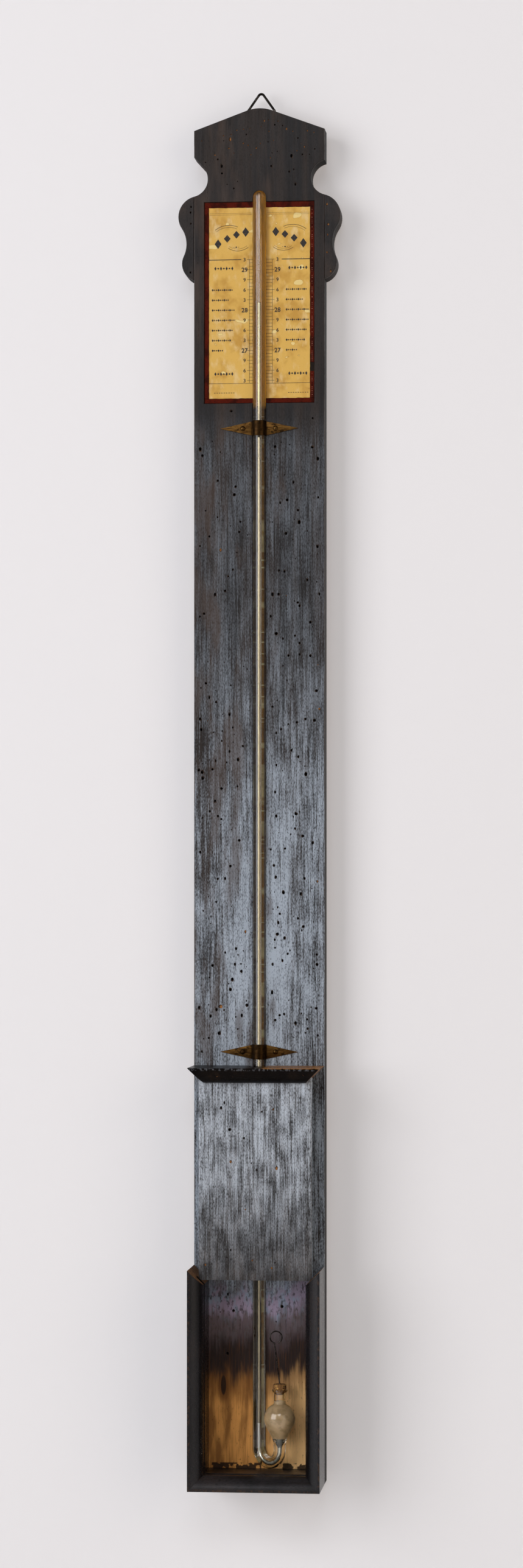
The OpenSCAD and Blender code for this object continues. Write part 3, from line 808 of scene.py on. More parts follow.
def round_arrises(bm: Mesh, width: float, chosen: Callable[[Edge], bool]) -> None:
    """Rounds the outer edges that a test picks.

    Args:
        bm: mesh to change.
        width: width of the rounding in metres.
        chosen: test for an edge.
    """
    outer = [e for e in bm.edges if e.is_manifold and e.is_convex and e.calc_face_angle(0.0) > ARRIS_TURN]
    bmesh.ops.bevel(bm, geom=[e for e in outer if chosen(e)], offset=width, offset_type="OFFSET", segments=2,
                    profile=0.5, affect="EDGES", material=-1, clamp_overlap=False)


def shade_smooth(bm: Mesh, limit: float = SMOOTH) -> None:
    """Smooths a mesh apart from edges sharper than a limit.

    Args:
        bm: mesh to change.
        limit: angle in degrees.
    """
    for face in bm.faces:
        face.smooth = True
    for edge in bm.edges:
        edge.smooth = edge.is_manifold and edge.calc_face_angle(0.0) < math.radians(limit)


def new_piece(name: str, bm: Mesh, finishes: Sequence[Finish], limit: float = SMOOTH) -> Piece:
    """Turns a mesh into an object of the scene.

    Args:
        name: the object's name.
        bm: mesh, which is freed.
        finishes: finishes in the order of the faces' material numbers.
        limit: angle over which an edge stays sharp, in degrees.

    Returns:
        The object.
    """
    shade_smooth(bm, limit)
    mesh = bpy.data.meshes.new(name)
    bm.to_mesh(mesh)
    bm.free()
    for finish in finishes:
        mesh.materials.append(finish.material())
    piece = bpy.data.objects.new(name, mesh)
    bpy.context.scene.collection.objects.link(piece)
    return piece


def even_normals(piece: Piece) -> None:
    """Keeps wide faces flat beside their rounded edges."""
    piece.modifiers.new("flat_faces", "WEIGHTED_NORMAL").keep_sharp = True


def publish(piece: Piece, body: str, slot: str, *nodes: str) -> None:
    """Hands a finished piece to the frame and reports it.

    Args:
        piece: the finished object.
        body: CAD body that it moves with.
        slot: name of a material slot; not used.
        nodes: CAD nodes that it stands for.
    """
    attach(piece, body)
    if nodes:
        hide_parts(*nodes)
    LOG.info("%s rides on %s, %d faces", piece.name, body, len(piece.data.polygons))


class Ring:
    """A ring of points that is drawn along to make a tube, a bulb or a turned piece."""

    def __init__(self, bm: Mesh, centre: Sequence[float], radius: float, sides: int = 32) -> None:
        """Starts the ring.

        Args:
            bm: mesh to draw in.
            centre: middle of the ring, in metres.
            radius: its radius.
            sides: number of its points.
        """
        self.bm = bm
        self.centre = Vector(centre)
        self.radius = radius
        place = Matrix.Translation(self.centre)
        self.points = bmesh.ops.create_circle(bm, radius=radius, segments=sides, matrix=place)["verts"]
        self.edges = list({e for v in self.points for e in v.link_edges})

    def take(self, geom: Iterable) -> None:
        """Goes on from the newest points and the edges between them."""
        self.points = [g for g in geom if isinstance(g, bmesh.types.BMVert)]
        held = set(self.points)
        self.edges = [g for g in geom if isinstance(g, Edge) and set(g.verts) <= held]

    def draw(self, radius: float, z: float) -> None:
        """Draws the ring to a new radius and height.

        Args:
            radius: new radius.
            z: new height.
        """
        self.take(bmesh.ops.extrude_edge_only(self.bm, edges=self.edges)["geom"])
        scale = radius / self.radius
        about = Matrix.Translation(-self.centre)
        bmesh.ops.scale(self.bm, vec=(scale, scale, 1.0), verts=self.points, space=about)
        bmesh.ops.translate(self.bm, vec=(0.0, 0.0, z - self.centre.z), verts=self.points)
        self.centre.z = z
        self.radius = radius

    def trace(self, line: Iterable[Spot]) -> None:
        """Draws the ring through radii and heights."""
        for radius, z in line:
            self.draw(radius, z)

    def bend(self, middle: Vector, axis: Vector, angle: float, steps: int) -> None:
        """Draws the ring round a bend.

        Args:
            middle: middle of the bend.
            axis: axis of the bend.
            angle: turn in radians.
            steps: number of steps.
        """
        geom = self.points + self.edges
        made = bmesh.ops.spin(self.bm, geom=geom, cent=middle, axis=axis, angle=angle, steps=steps)
        self.take(made["geom_last"])
        self.centre = middle + Matrix.Rotation(angle, 4, axis) @ (self.centre - middle)

    def close(self) -> None:
        """Closes the ring to a point."""
        bmesh.ops.pointmerge(self.bm, verts=self.points, merge_co=self.centre)


class Bore(Enum):
    """What a worm left: an open bore, one packed with frass or a raw rim, by its material number."""

    OPEN = 1
    FRASS = 2
    RIM = 3


WORMED = (BORE, FRASS, EDGE)
BORE_DEPTH = {Bore.OPEN: 4.0 * MM, Bore.FRASS: 0.5 * MM}
BORE_LEAN = 0.35
BORE_RADII = ((0.3, 0.5), (0.6, 1.0))
FRASS_SHARE = 0.05
TRIES_A_HOLE = 6


@dataclass(frozen=True)
class WormHole:
    """One hole in a face: its place, radius and kind, in millimetres."""

    x: float
    z: float
    radius: float
    kind: Bore = Bore.OPEN


def drill(piece: Piece, holes: Iterable[WormHole], face_y: float, limit: float = SMOOTH) -> None:
    """Bores wormholes into a piece from the front.

    Args:
        piece: object to bore.
        holes: holes to make.
        face_y: where the face lies along Y in metres.
        limit: angle over which an edge stays sharp, in degrees.
    """
    bm = bmesh.new()
    dice = random.Random(len(piece.name))
    for hole in holes:
        r = hole.radius * MM
        ring = Ring(bm, (0.0, 0.0, 0.4 * MM), 1.4 * r, 12)
        first = set(bm.verts) - set(ring.points)
        bmesh.ops.contextual_create(bm, geom=ring.edges)
        ring.draw(0.9 * r, -0.3 * MM)
        rim = set(bm.verts)
        ring.draw(0.8 * r, -BORE_DEPTH[hole.kind])
        bmesh.ops.contextual_create(bm, geom=ring.edges)
        fresh = [v for v in bm.verts if v not in first]
        for face in {f for v in fresh for f in v.link_faces}:
            face.material_index = Bore.RIM.value if set(face.verts) <= rim else hole.kind.value
        stretch = Matrix.Diagonal((dice.uniform(0.75, 1.1), dice.uniform(0.9, 1.5), 1.0, 1.0))
        tip, roll = [Matrix.Rotation(dice.uniform(-BORE_LEAN, BORE_LEAN), 4, axis) for axis in "XZ"]
        place = Matrix.Translation((hole.x * MM, face_y, hole.z * MM)) @ (tip @ roll) @ UPRIGHT
        bmesh.ops.transform(bm, matrix=place @ stretch, verts=fresh)
    bmesh.ops.recalc_face_normals(bm, faces=bm.faces)
    bit = new_piece("bit", bm, [RAW, *WORMED])
    cut = piece.modifiers.new("bore", "BOOLEAN")
    cut.operation = "DIFFERENCE"
    cut.solver = "EXACT"
    cut.object = bit
    seen = piece.evaluated_get(bpy.context.evaluated_depsgraph_get())
    bored = bpy.data.meshes.new_from_object(seen)
    piece.modifiers.clear()
    piece.data = bored
    bpy.data.objects.remove(bit)
    bm = bmesh.new()
    bm.from_mesh(bored)
    shade_smooth(bm, limit)
    bm.to_mesh(bored)
    bm.free()


def scatter(count: int, seed: int, left: float, right: float, low: float, high: float,
            taken: Callable[[float, float], bool], gap: float = 2.4) -> list[WormHole]:
    """Strews wormholes over a rectangle.

    Args:
        count: number of holes to try for.
        seed: seed of the dice.
        left, right, low, high: the rectangle in millimetres.
        taken: test for a place that stays whole.
        gap: least distance between two holes.

    Returns:
        The holes.
    """
    dice = random.Random(seed)
    holes: list[WormHole] = []
    for _ in range(count * TRIES_A_HOLE):
        x, z = dice.uniform(left, right), dice.uniform(low, high)
        clear = all(math.hypot(x - h.x, z - h.z) > gap for h in holes)
        if len(holes) < count and clear and not taken(x, z):
            kind = Bore.FRASS if dice.random() < FRASS_SHARE else Bore.OPEN
            holes.append(WormHole(x, z, dice.uniform(*dice.choice(BORE_RADII)), kind))
    return holes


def outward(bm: Mesh) -> None:
    """Merges doubles and turns all faces outwards."""
    bmesh.ops.remove_doubles(bm, verts=bm.verts, dist=WELD)
    bmesh.ops.recalc_face_normals(bm, faces=bm.faces)


def eased(corners: Sequence[Spot], rounds: int = 2) -> list[Spot]:
    """Rounds the corners of an outline by cutting them again and again.

    Args:
        corners: radius and height of each corner.
        rounds: number of cuts.

    Returns:
        The rounded outline, with the same ends.
    """
    line = list(corners)
    for _ in range(rounds):
        cut = [line[0]]
        for a, b in zip(line, line[1:]):
            cut.append((0.75 * a[0] + 0.25 * b[0], 0.75 * a[1] + 0.25 * b[1]))
            cut.append((0.25 * a[0] + 0.75 * b[0], 0.25 * a[1] + 0.75 * b[1]))
        line = cut + [line[-1]]
    return line


# Sub-assemblies


@dataclass
class Backboard:
    """The board, its ears and their wormholes, whose places and clearances are in millimetres."""

    arris: float = 0.5 * MM
    front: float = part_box("backboard")[0].y
    half_w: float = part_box("backboard")[1].x
    groove_clear: float = 7.5
    clip_clear: Spot = (30.0, 9.0)
    clips_z: Spot = tuple(sum(c.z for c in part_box(clip)) / 2 / MM for clip in ("upper_clip", "lower_clip"))
    notch: Spot = (46.7, -58.5)
    notch_clear: float = 15.0
    tube_clear: Spot = (7.0, -60.0)
    hole_gap: float = 3.0
    swarms: tuple[tuple[int, int, float, float], ...] = (
        (50, 5, -330.0, -214.0), (110, 6, -520.0, -332.0), (96, 7, -648.0, -522.0))
    gable: Spots = (
        (-38.8, -32.9), (-24.1, -29.6), (-18.9, -28.9), (-15.2, -26.2), (-10.7, -25.5), (-6.3, -25.2),
        (1.4, -24.0), (3.4, -20.1), (6.3, -19.5), (12.7, -20.5), (18.4, -25.8), (22.6, -27.4), (32.4, -27.3),
        (36.8, -28.4), (6.6, -27.2), (9.7, -33.3), (0.7, -35.3), (-10.7, -34.9), (-7.5, -36.4),
        (-1.9, -38.2), (-20.5, -38.2), (-17.0, -41.4), (-29.9, -42.5), (-5.6, -42.6), (7.5, -44.9),
        (28.2, -35.6), (30.4, -38.0), (25.4, -40.6))
    gable_open: Spots = ((15.8, -23.6), (10.5, -22.9), (-8.7, -29.0), (29.0, -43.1))
    left_ear: Spots = ((-46.0, -77.0), (-46.4, -80.8), (-46.1, -88.3), (-46.5, -121.0))
    right_ear: Spots = ((45.6, -76.7), (46.4, -90.2), (46.0, -97.1), (45.6, -108.9), (48.1, -121.6))

    def on_front(self, edge: Edge) -> bool:
        """Tells whether an edge lies in the front face and is no small hole's."""
        level = all(abs(v.co.y - self.front) < 1e-5 for v in edge.verts)
        return level and edge.calc_length() > 0.7 * MM

    def whole(self, x: float, z: float) -> bool:
        """Tells whether a place on the board is kept free of wormholes."""
        wide, tall = self.clip_clear
        under_clip = abs(x) < wide and any(abs(z - clip) < tall for clip in self.clips_z)
        return abs(x) < self.groove_clear or under_clip

    def gabled(self, x: float, z: float) -> bool:
        """Tells whether a place is too near a notch, the tube or a hole of the gable."""
        near = any(math.hypot(x - a, z - b) < self.hole_gap for a, b in self.gable + self.gable_open)
        at_notch = math.hypot(abs(x) - self.notch[0], z - self.notch[1]) < self.notch_clear
        return near or at_notch or (abs(x) < self.tube_clear[0] and z < self.tube_clear[1])

    def build_board(self) -> None:
        """Builds the board with its bores."""
        bm = cad_solid("backboard")
        round_arrises(bm, self.arris, self.on_front)
        piece = new_piece("stained_board", bm, [BOARD, *WORMED])
        dice = random.Random(3)
        holes = [WormHole(x, z, dice.uniform(0.25, 0.55), Bore.FRASS) for x, z in self.gable]
        holes += [WormHole(x, z, 0.5) for x, z in self.gable_open]
        reach = self.half_w / MM - self.hole_gap
        holes += scatter(20, 4, -reach, reach, -66, -30, self.gabled, self.hole_gap)
        for count, seed, low, high in self.swarms:
            holes += scatter(count, seed, -reach, reach, low, high, self.whole)
        holes += scatter(7, 8, -30, 30, -850, -800, self.whole)
        drill(piece, holes, self.front)
        even_normals(piece)
        publish(piece, "barometer", "board_wood", "backboard")

    def build_ear(self, node: str, spots: Sequence[Spot], kind: Bore) -> None:
        """Builds one ear.

        Args:
            node: name of its CAD node.
            spots: places of its wormholes.
            kind: what the worm left there.
        """
        bm = cad_solid(node)
        round_arrises(bm, self.arris, self.on_front)
        piece = new_piece("stained_" + node, bm, [EAR, *WORMED])
        drill(piece, [WormHole(x, z, 0.6, kind) for x, z in spots], self.front)
        even_normals(piece)
        publish(piece, "barometer", "ear_wood", node)

    def build(self) -> None:
        """Builds the board and both ears."""
        self.build_board()
        self.build_ear("left_ear", self.left_ear, Bore.OPEN)
        self.build_ear("right_ear", self.right_ear, Bore.FRASS)


@dataclass
class CisternBox:
    """The mitred box round the bulb and the sliding cover over it, with wormholes placed in millimetres."""

    raw_slot: int = 4
    sharp: float = 24.0
    panel_edge: float = 7.0
    panel_head: float = 12.0
    hole_gap: float = 3.0
    head_frass: Spots = (
        (-25.7, -657.0), (-24.2, -659.4), (-13.8, -659.6), (-2.4, -660.4), (21.7, -660.1), (33.0, -657.6))
    panel_frass: Spots = ((-33.0, -784.4), (-1.7, -781.2), (11.2, -786.2), (12.2, -681.1))

    def slanted(self, face: bmesh.types.BMFace) -> bool:
        """Tells whether a face is a mitre, cut at 45 degrees across the moulding."""
        return all(abs(abs(n) - math.sqrt(0.5)) < 0.02 for n in (face.normal.x, face.normal.z))

    def moulding(self, node: str, finish: Finish) -> Piece:
        """Builds a length of moulding with raw mitres.

        Args:
            node: name of its CAD node.
            finish: finish of its face.

        Returns:
            The piece.
        """
        bm = cad_solid(node)
        for face in bm.faces:
            face.material_index = self.raw_slot if self.slanted(face) else 0
        return new_piece("moulded_" + node, bm, [finish, *WORMED, RAW], self.sharp)

    def build_rails(self) -> None:
        """Builds the three rails of the box."""
        for node in ("box_side_left", "box_side_right", "box_bottom_rail"):
            piece = self.moulding(node, FOOT if node == "box_bottom_rail" else RAIL)
            even_normals(piece)
            publish(piece, "barometer", "box_wood", node)

    def build_cover(self) -> None:
        """Builds the cover's head and panel."""
        head = self.moulding("cover_head", HEAD)
        drill(head, [WormHole(x, z, 0.55, Bore.FRASS) for x, z in self.head_frass],
              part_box("cover_head")[0].y + 1.5 * MM, self.sharp)
        even_normals(head)
        publish(head, "cover", "cover_wood", "cover_head")
        low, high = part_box("cover_panel")
        panel = new_piece("rubbed_panel", cad_solid("cover_panel"), [PANEL, *WORMED])
        holes = [WormHole(x, z, 0.6, Bore.FRASS) for x, z in self.panel_frass]
        strewn = scatter(16, 9, low.x / MM + self.panel_edge, high.x / MM - self.panel_edge,
                         low.z / MM + self.panel_edge, high.z / MM - self.panel_head, lambda x, z: False)
        holes += [h for h in strewn
                  if all(math.hypot(h.x - x, h.z - z) > self.hole_gap for x, z in self.panel_frass)]
        drill(panel, holes, low.y)
        even_normals(panel)
        publish(panel, "cover", "cover_wood", "cover_panel")

    def build(self) -> None:
        """Builds the box and its cover."""
        self.build_rails()
        self.build_cover()


@dataclass
class PaperScale:
    """The printed sheet, its ink and the embossed strips round it."""

    inch: float = 27.07 * MM
    mark_28: float = -146.6 * MM
    ladder: Spot = (-6.8 * MM, 8.7 * MM)
    numbers: Spot = (-10.0 * MM, 12.2 * MM)
    tick_t: float = 0.2 * MM
    ink_t: float = 0.12 * MM
    groove_w: float = 4.8 * MM
    fray: float = 0.22 * MM
    fray_seed: int = 7
    wave: float = 0.04 * MM
    face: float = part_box("scale_paper_left")[0].y

    def __post_init__(self) -> None:
        """Starts the mesh that takes all the ink."""
        self.ink = bmesh.new()

    def build_sheet(self, node: str) -> None:
        """Builds one half of the sheet, a little wavy, with a worn edge.

        Args:
            node: name of its CAD node.
        """
        low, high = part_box(node)
        bm = bmesh.new()
        middle = Vector(((low.x + high.x) / 2, high.y, (low.z + high.z) / 2))
        bmesh.ops.create_grid(bm, x_segments=18, y_segments=72, size=0.5, matrix=Matrix.Identity(4))
        bmesh.ops.scale(bm, vec=(high.x - low.x, high.z - low.z, 1.0), verts=bm.verts)
        # Without a seed this noise follows the clock
        noise.seed_set(self.fray_seed)
        for vert in bm.verts:
            if vert.is_boundary:
                shift = noise.noise_vector(vert.co * 450.0)
                vert.co += Vector((shift.x, shift.y, 0.0)) * self.fray
        bmesh.ops.transform(bm, matrix=Matrix.Translation(middle) @ UPRIGHT, verts=bm.verts)
        bmesh.ops.solidify(bm, geom=bm.faces, thickness=-(high.y - low.y))
        outward(bm)
        for vert in bm.verts:
            if vert.co.y < (low.y + high.y) / 2:
                vert.co.y += self.wave * noise.noise(vert.co * 90.0)
        piece = new_piece("printed_" + node, bm, [PAPER])
        publish(piece, "barometer", "scale_paper", node)

    def bar(self, x0: float, x1: float, z: float, thick: float, high: float = 0.0) -> None:
        """Lays a bar of ink on the paper.

        Args:
            x0, x1: its ends along X.
            z: its middle, or its lower end where it stands upright.
            thick: its thickness.
            high: its height where it stands upright.
        """
        tall = high or thick
        wide = thick if high else x1 - x0
        middle = Vector(((x0 + x1) / 2, self.face, z + high / 2))
        size = Matrix.Diagonal((wide, self.ink_t, tall, 1.0))
        bmesh.ops.create_cube(self.ink, size=1.0, matrix=Matrix.Translation(middle) @ size)

    def lozenge(self, x: float, z: float, wide: float, tall: float) -> None:
        """Lays a lozenge of ink on the paper.

        Args:
            x, z: its middle.
            wide, tall: its size.
        """
        place = Matrix.Translation((x, self.face, z)) @ Matrix.Diagonal((wide, 1.0, tall, 1.0))
        bmesh.ops.create_cone(self.ink, cap_ends=True, segments=4, radius1=0.5, radius2=0.5,
                              depth=self.ink_t, matrix=place @ UPRIGHT)

    def arc(self, x: float, z: float, radius: float, start: float, sweep: float,
            thick: float) -> None:
        """Draws a thin curved rule.

        Args:
            x, z: middle of its circle.
            radius: radius of its circle.
            start, sweep: first angle and turn, in degrees from the right.
            thick: its thickness.
        """
        a = math.radians(start)
        middle = Vector((x, self.face, z))
        end = middle + Vector((math.cos(a), 0.0, math.sin(a))) * radius
        place = Matrix.Translation(end) @ Matrix.Rotation(-a, 4, "Y")
        size = Matrix.Diagonal((thick, self.ink_t, 1.0, 1.0))
        made = bmesh.ops.create_grid(self.ink, x_segments=1, y_segments=1, size=0.5, matrix=place @ size)
        faces = list({f for v in made["verts"] for f in v.link_faces})
        bmesh.ops.spin(self.ink, geom=faces + made["verts"], cent=middle, axis=(0.0, -1.0, 0.0),
                       angle=math.radians(sweep), steps=18)

    def number(self, words: str, x: float, z: float, tall: float) -> None:
        """Prints a number on the paper.

        Args:
            words: the digits.
            x, z: its middle.
            tall: its height.
        """
        text = bpy.data.curves.new("digits", "FONT")
        text.body = words
        text.size = 1.38 * tall
        text.extrude = self.ink_t / 2
        text.offset = 0.035 * tall
        text.resolution_u = 3
        text.align_x = "CENTER"
        holder = bpy.data.objects.new("digits", text)
        bpy.context.scene.collection.objects.link(holder)
        mesh = bpy.data.meshes.new_from_object(holder.evaluated_get(bpy.context.evaluated_depsgraph_get()))
        mesh.transform(Matrix.Translation((x, self.face, z - tall / 2)) @ UPRIGHT)
        self.ink.from_mesh(mesh)
        bpy.data.objects.remove(holder)

    def build_ladder(self) -> None:
        """Prints the ladder of ticks and its numbers, one tick to the Paris line."""
        sides = ((self.ladder[0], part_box("scale_paper_left")[1].x, self.numbers[0], -1),
                 (self.ladder[1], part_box("scale_paper_right")[0].x, self.numbers[1], 1))
        top, foot = self.mark_28 + 1.25 * self.inch, self.mark_28 - 1.75 * self.inch
        for rail, tube, digits, way in sides:
            self.bar(rail, rail, foot - 1.6 * MM, self.tick_t, top - foot + 1.6 * MM)
            for line in range(-21, 16):
                z = self.mark_28 + line * self.inch / 12
                third = line % 3 == 0
                out = rail + way * 1.5 * MM if third else rail
                self.bar(min(tube, out), max(tube, out), z, self.tick_t)
                if third:
                    whole = line % 12 == 0
                    words = str(28 + line // 12) if whole else str(line % 12)
                    self.number(words, digits, z, (3.0 if whole else 2.4) * MM)

    def build_rules(self) -> None:
        """Prints the ruled lines and the rows of lozenges."""
        left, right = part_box("scale_paper_left"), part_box("scale_paper_right")
        top = self.mark_28 + 1.25 * self.inch
        foot = self.mark_28 - 1.82 * self.inch
        self.bar(left[0].x, -12.2 * MM, top, 0.5 * MM)
        self.bar(15.0 * MM, right[1].x, top, 0.5 * MM)
        for low, high in (left, right):
            self.bar(low.x, high.x, foot, 0.26 * MM)
            for z in (-81.6, -82.6):
                self.bar(low.x + 0.5 * MM, high.x - 0.3 * MM, z * MM, 0.11 * MM)
        rows = [(6, 11), (3, 9), (0, 12), (-3, 12), (-6, 11), (-9, 10), (-12, 6)]
        for start in (-32.3, 17.6):
            for line, count in rows:
                z = self.mark_28 + line * self.inch / 12
                for i in range(count):
                    size = (1.4, 1.8) if i % 3 == 0 else (0.95, 1.2)
                    self.lozenge((start + 0.8 + 1.3 * i) * MM, z, size[0] * MM, size[1] * MM)
            for z in (-118.6, -189.4):
                for i in range(7):
                    tall = 2.6 if i % 2 == 0 else 1.3
                    self.lozenge((start + 2.6 + 1.9 * i) * MM, z * MM, 1.5 * MM, tall * MM)
            for i in range(9):
                self.lozenge((start + 2.2 + 1.6 * i) * MM, -202.2 * MM, 1.3 * MM, 0.55 * MM)

    def build_ornament(self) -> None:
        """Prints the headpiece: rising lozenges between curved rules, mirrored on the two halves."""
        for way, middle in ((1, -18.6), (-1, 20.3)):
            for i, step in enumerate((-9.3, -3.1, 3.1, 9.3)):
                tall = 6.4 if i in (0, 3) else 5.2
                z = -97.2 + way * 0.42 * step - 0.012 * step * step
                self.lozenge((middle + step) * MM, z * MM, 4.6 * MM, tall * MM)
            upper, lower = (66, 236) if way > 0 else (52, 232)
            for radius, thick in ((15.0, 0.28), (13.6, 0.16)):
                self.arc((middle - way * 2.0) * MM, -104.6 * MM, radius * MM, upper, 62, thick * MM)
            for radius, thick in ((11.5, 0.26), (10.2, 0.14)):
                self.arc((middle + way * 4.0) * MM, -95.4 * MM, radius * MM, lower, 72, thick * MM)
            for i in (-1, 0, 1):
                size = (1.1 if i == 0 else 0.5) * MM
                self.lozenge((middle + way * 3.0 + 1.6 * i) * MM, -104.4 * MM, 1.3 * size, size)

    def build_print(self) -> None:
        """Builds all the ink as one thin piece."""
        self.build_ladder()
        self.build_rules()
        self.build_ornament()
        bmesh.ops.recalc_face_normals(self.ink, faces=self.ink.faces)
        piece = new_piece("scale_print", self.ink, [INK])
        publish(piece, "barometer", "scale_paper")

    def build_strip(self, node: str, pitch: float, beaded: bool) -> None:
        """Builds one embossed strip with ribs or beads along it.

        Args:
            node: name of its CAD node.
            pitch: distance from one rib or bead to the next.
            beaded: whether it has beads and not ribs.
        """
        low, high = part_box(node)
        bm = cad_solid(node)
        upright = high.z - low.z > high.x - low.x
        start, end = (low.z, high.z) if upright else (low.x, high.x)
        count = int((end - start) / pitch)
        middle = (low + high) / 2
        dice = random.Random(len(node))
        for i in range(count):
            along = start + (i + 0.5) * pitch
            if not upright and abs(along) < self.groove_w:
                continue
            spot = (middle.x, low.y, along) if upright else (along, low.y, middle.z)
            place = Matrix.Translation(spot)
            if beaded:
                size = 0.42 * MM * dice.uniform(0.6, 1.1)
                made = bmesh.ops.create_icosphere(bm, subdivisions=1, radius=size, matrix=place)
                index = 1 if dice.random() < 0.7 else 0
            else:
                wide = 0.8 * (high.x - low.x) if upright else 0.36 * MM
                tall = 0.36 * MM if upright else 0.8 * (high.z - low.z)
                size = Matrix.Diagonal((wide, 0.24 * MM, tall, 1.0))
                made = bmesh.ops.create_cube(bm, size=1.0, matrix=place @ size)
                index = 0
            for face in {f for v in made["verts"] for f in v.link_faces}:
                face.material_index = index
        piece = new_piece("embossed_" + node, bm, [STRIP, BEAD])
        publish(piece, "barometer", "border_paper", node)

    def build(self) -> None:
        """Builds the sheet, the print and the strips."""
        self.build_sheet("scale_paper_left")
        self.build_sheet("scale_paper_right")
        self.build_print()
        for node, beaded in (("border_top", False), ("border_bottom", False), ("border_left", False),
                             ("border_right_upper", True), ("border_right_lower", True)):
            self.build_strip(node, 1.3 * MM if beaded else 1.0 * MM, beaded)


@dataclass
class SiphonTube:
    """The bent tube and bulb, blown in one piece, with its mercury, cork and pull wire."""

    slack: float = 0.05 * MM
    wall: float = 0.8 * MM
    seal: float = 3.0 * MM
    bend_steps: int = 24
    round_over: float = 60.0
    lip_up: float = 19.6 * MM
    lip_h: float = 1.8 * MM
    lip_r: float = 5.15 * MM
    neck_r: float = 4.0 * MM
    cone: float = math.radians(29.5)
    swell: float = 0.03 * MM
    lap: float = 36.0 * MM
    pool_rise: float = 0.7 * MM
    pool_edge: float = 0.8 * MM
    level_up: float = 9.5 * MM

    def __post_init__(self) -> None:
        """Reads the tube's place from the frame."""
        low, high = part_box("siphon_tube")
        bulb_low, bulb_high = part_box("cistern_bulb")
        self.tube = -low.x
        self.top = high.z
        self.long_leg = Vector((0.0, high.y - self.tube, 0.0))
        self.short_leg = Vector(((bulb_low.x + bulb_high.x) / 2, (bulb_low.y + bulb_high.y) / 2, 0.0))
        run = self.short_leg - self.long_leg
        self.bend_r = run.length / 2
        self.bend_z = low.z + self.bend_r + self.tube + self.swell
        self.axis = run.normalized().cross(Vector((0.0, 0.0, 1.0)))
        self.middle = (self.short_leg + self.long_leg) / 2 + Vector((0.0, 0.0, self.bend_z))
        self.bulb_r = (bulb_high.x - bulb_low.x) / 2
        self.lip = bulb_high.z
        self.bulb = self.lip - self.lip_up
        self.level = self.bend_z + self.level_up
        thread_low, thread_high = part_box("mercury_column")
        self.foot, self.column = thread_low.z, thread_high.z
        self.thread = thread_high.x
        self.bore = self.thread + self.slack

    def touch(self, ball: float) -> Spot:
        """Gives the radius and height where a ball of the bulb meets its cone."""
        return ball * math.cos(self.cone), self.bulb - ball * math.sin(self.cone)

    def pear(self, stem: float, ball: float, neck: float, foot: float, head: float) -> list[Spot]:
        """Gives the outline of the bulb from its stem to its neck.

        Args:
            stem: radius of the stem.
            ball: radius of the round part.
            neck: radius of the neck.
            foot, head: heights where the outline starts and ends.

        Returns:
            Radius and height of each point, upwards.
        """
        touch = self.touch(ball)
        cone_foot = touch[1] - (touch[0] - stem) / math.tan(self.cone)
        low = -self.cone
        high = math.acos(neck / ball)
        ring = [low + (high - low) * i / 9 for i in range(10)]
        line = [(stem, foot), (stem, cone_foot), touch]
        line += [(ball * math.cos(a), self.bulb + ball * math.sin(a)) for a in ring[1:]]
        return eased(line + [(neck, self.bulb + ball * 1.08), (neck, head)])

    def build_glass(self) -> None:
        """Draws the glass from one ring: down the tube, round the bend, over the bulb and back inside."""
        bm = bmesh.new()
        out, bore = self.tube, self.bore
        dome = [math.radians(a) for a in (10, 25, 40, 55, 70, 90)]
        start = self.top - out + out * math.cos(dome[0])
        ring = Ring(bm, self.long_leg + Vector((0.0, 0.0, start)), out * math.sin(dome[0]))
        cap = list(ring.points)
        ring.trace((out * math.sin(a), self.top - out + out * math.cos(a)) for a in dome[1:])
        ring.draw(out, self.bend_z)
        ring.bend(self.middle, self.axis, math.pi, self.bend_steps)
        collar = self.lip - self.lip_h
        ring.trace(self.pear(out, self.bulb_r, self.neck_r, self.bend_z, collar)[1:])
        ring.trace(((self.lip_r - 0.4 * MM, collar - 0.1 * MM), (self.lip_r, self.lip - 0.7 * self.lip_h),
                    (self.lip_r, self.lip - 0.3 * self.lip_h), (self.lip_r - 0.5 * MM, self.lip),
                    (self.neck_r, self.lip - 0.05 * MM)))
        inside = self.pear(bore, self.bulb_r - self.wall, self.neck_r - self.wall, self.bend_z, collar)
        ring.trace(reversed(inside))
        ring.bend(self.middle, self.axis, -math.pi, self.bend_steps)
        vault = self.top - self.seal
        ring.trace(((bore, self.column), (bore, vault)))
        for a in (65, 40, 15):
            t = math.radians(a)
            ring.draw(bore * math.sin(t), vault + bore * math.cos(t))
        ring.close()
        bmesh.ops.pointmerge(bm, verts=cap, merge_co=self.long_leg + Vector((0.0, 0.0, self.top)))
        outward(bm)
        heart = self.short_leg + Vector((0.0, 0.0, self.bulb))
        dusted, wet = 1, 2
        for face in bm.faces:
            spot = face.calc_center_median()
            ray = spot - heart
            in_bulb = abs(ray.z) < 1.1 * self.bulb_r and ray.to_2d().length < self.bulb_r
            inner = in_bulb and face.normal.dot(ray) < 0
            in_leg = (spot - self.long_leg).to_2d().length < 1.1 * bore
            if inner and spot.z > self.level - 0.3 * MM:
                face.material_index = dusted
            elif inner or (in_leg and self.bend_z < spot.z < self.column):
                face.material_index = wet
        piece = new_piece("blown_siphon", bm, [GLASS, DUST, WET], self.round_over)
        publish(piece, "barometer", "glass", "siphon_tube", "cistern_bulb")

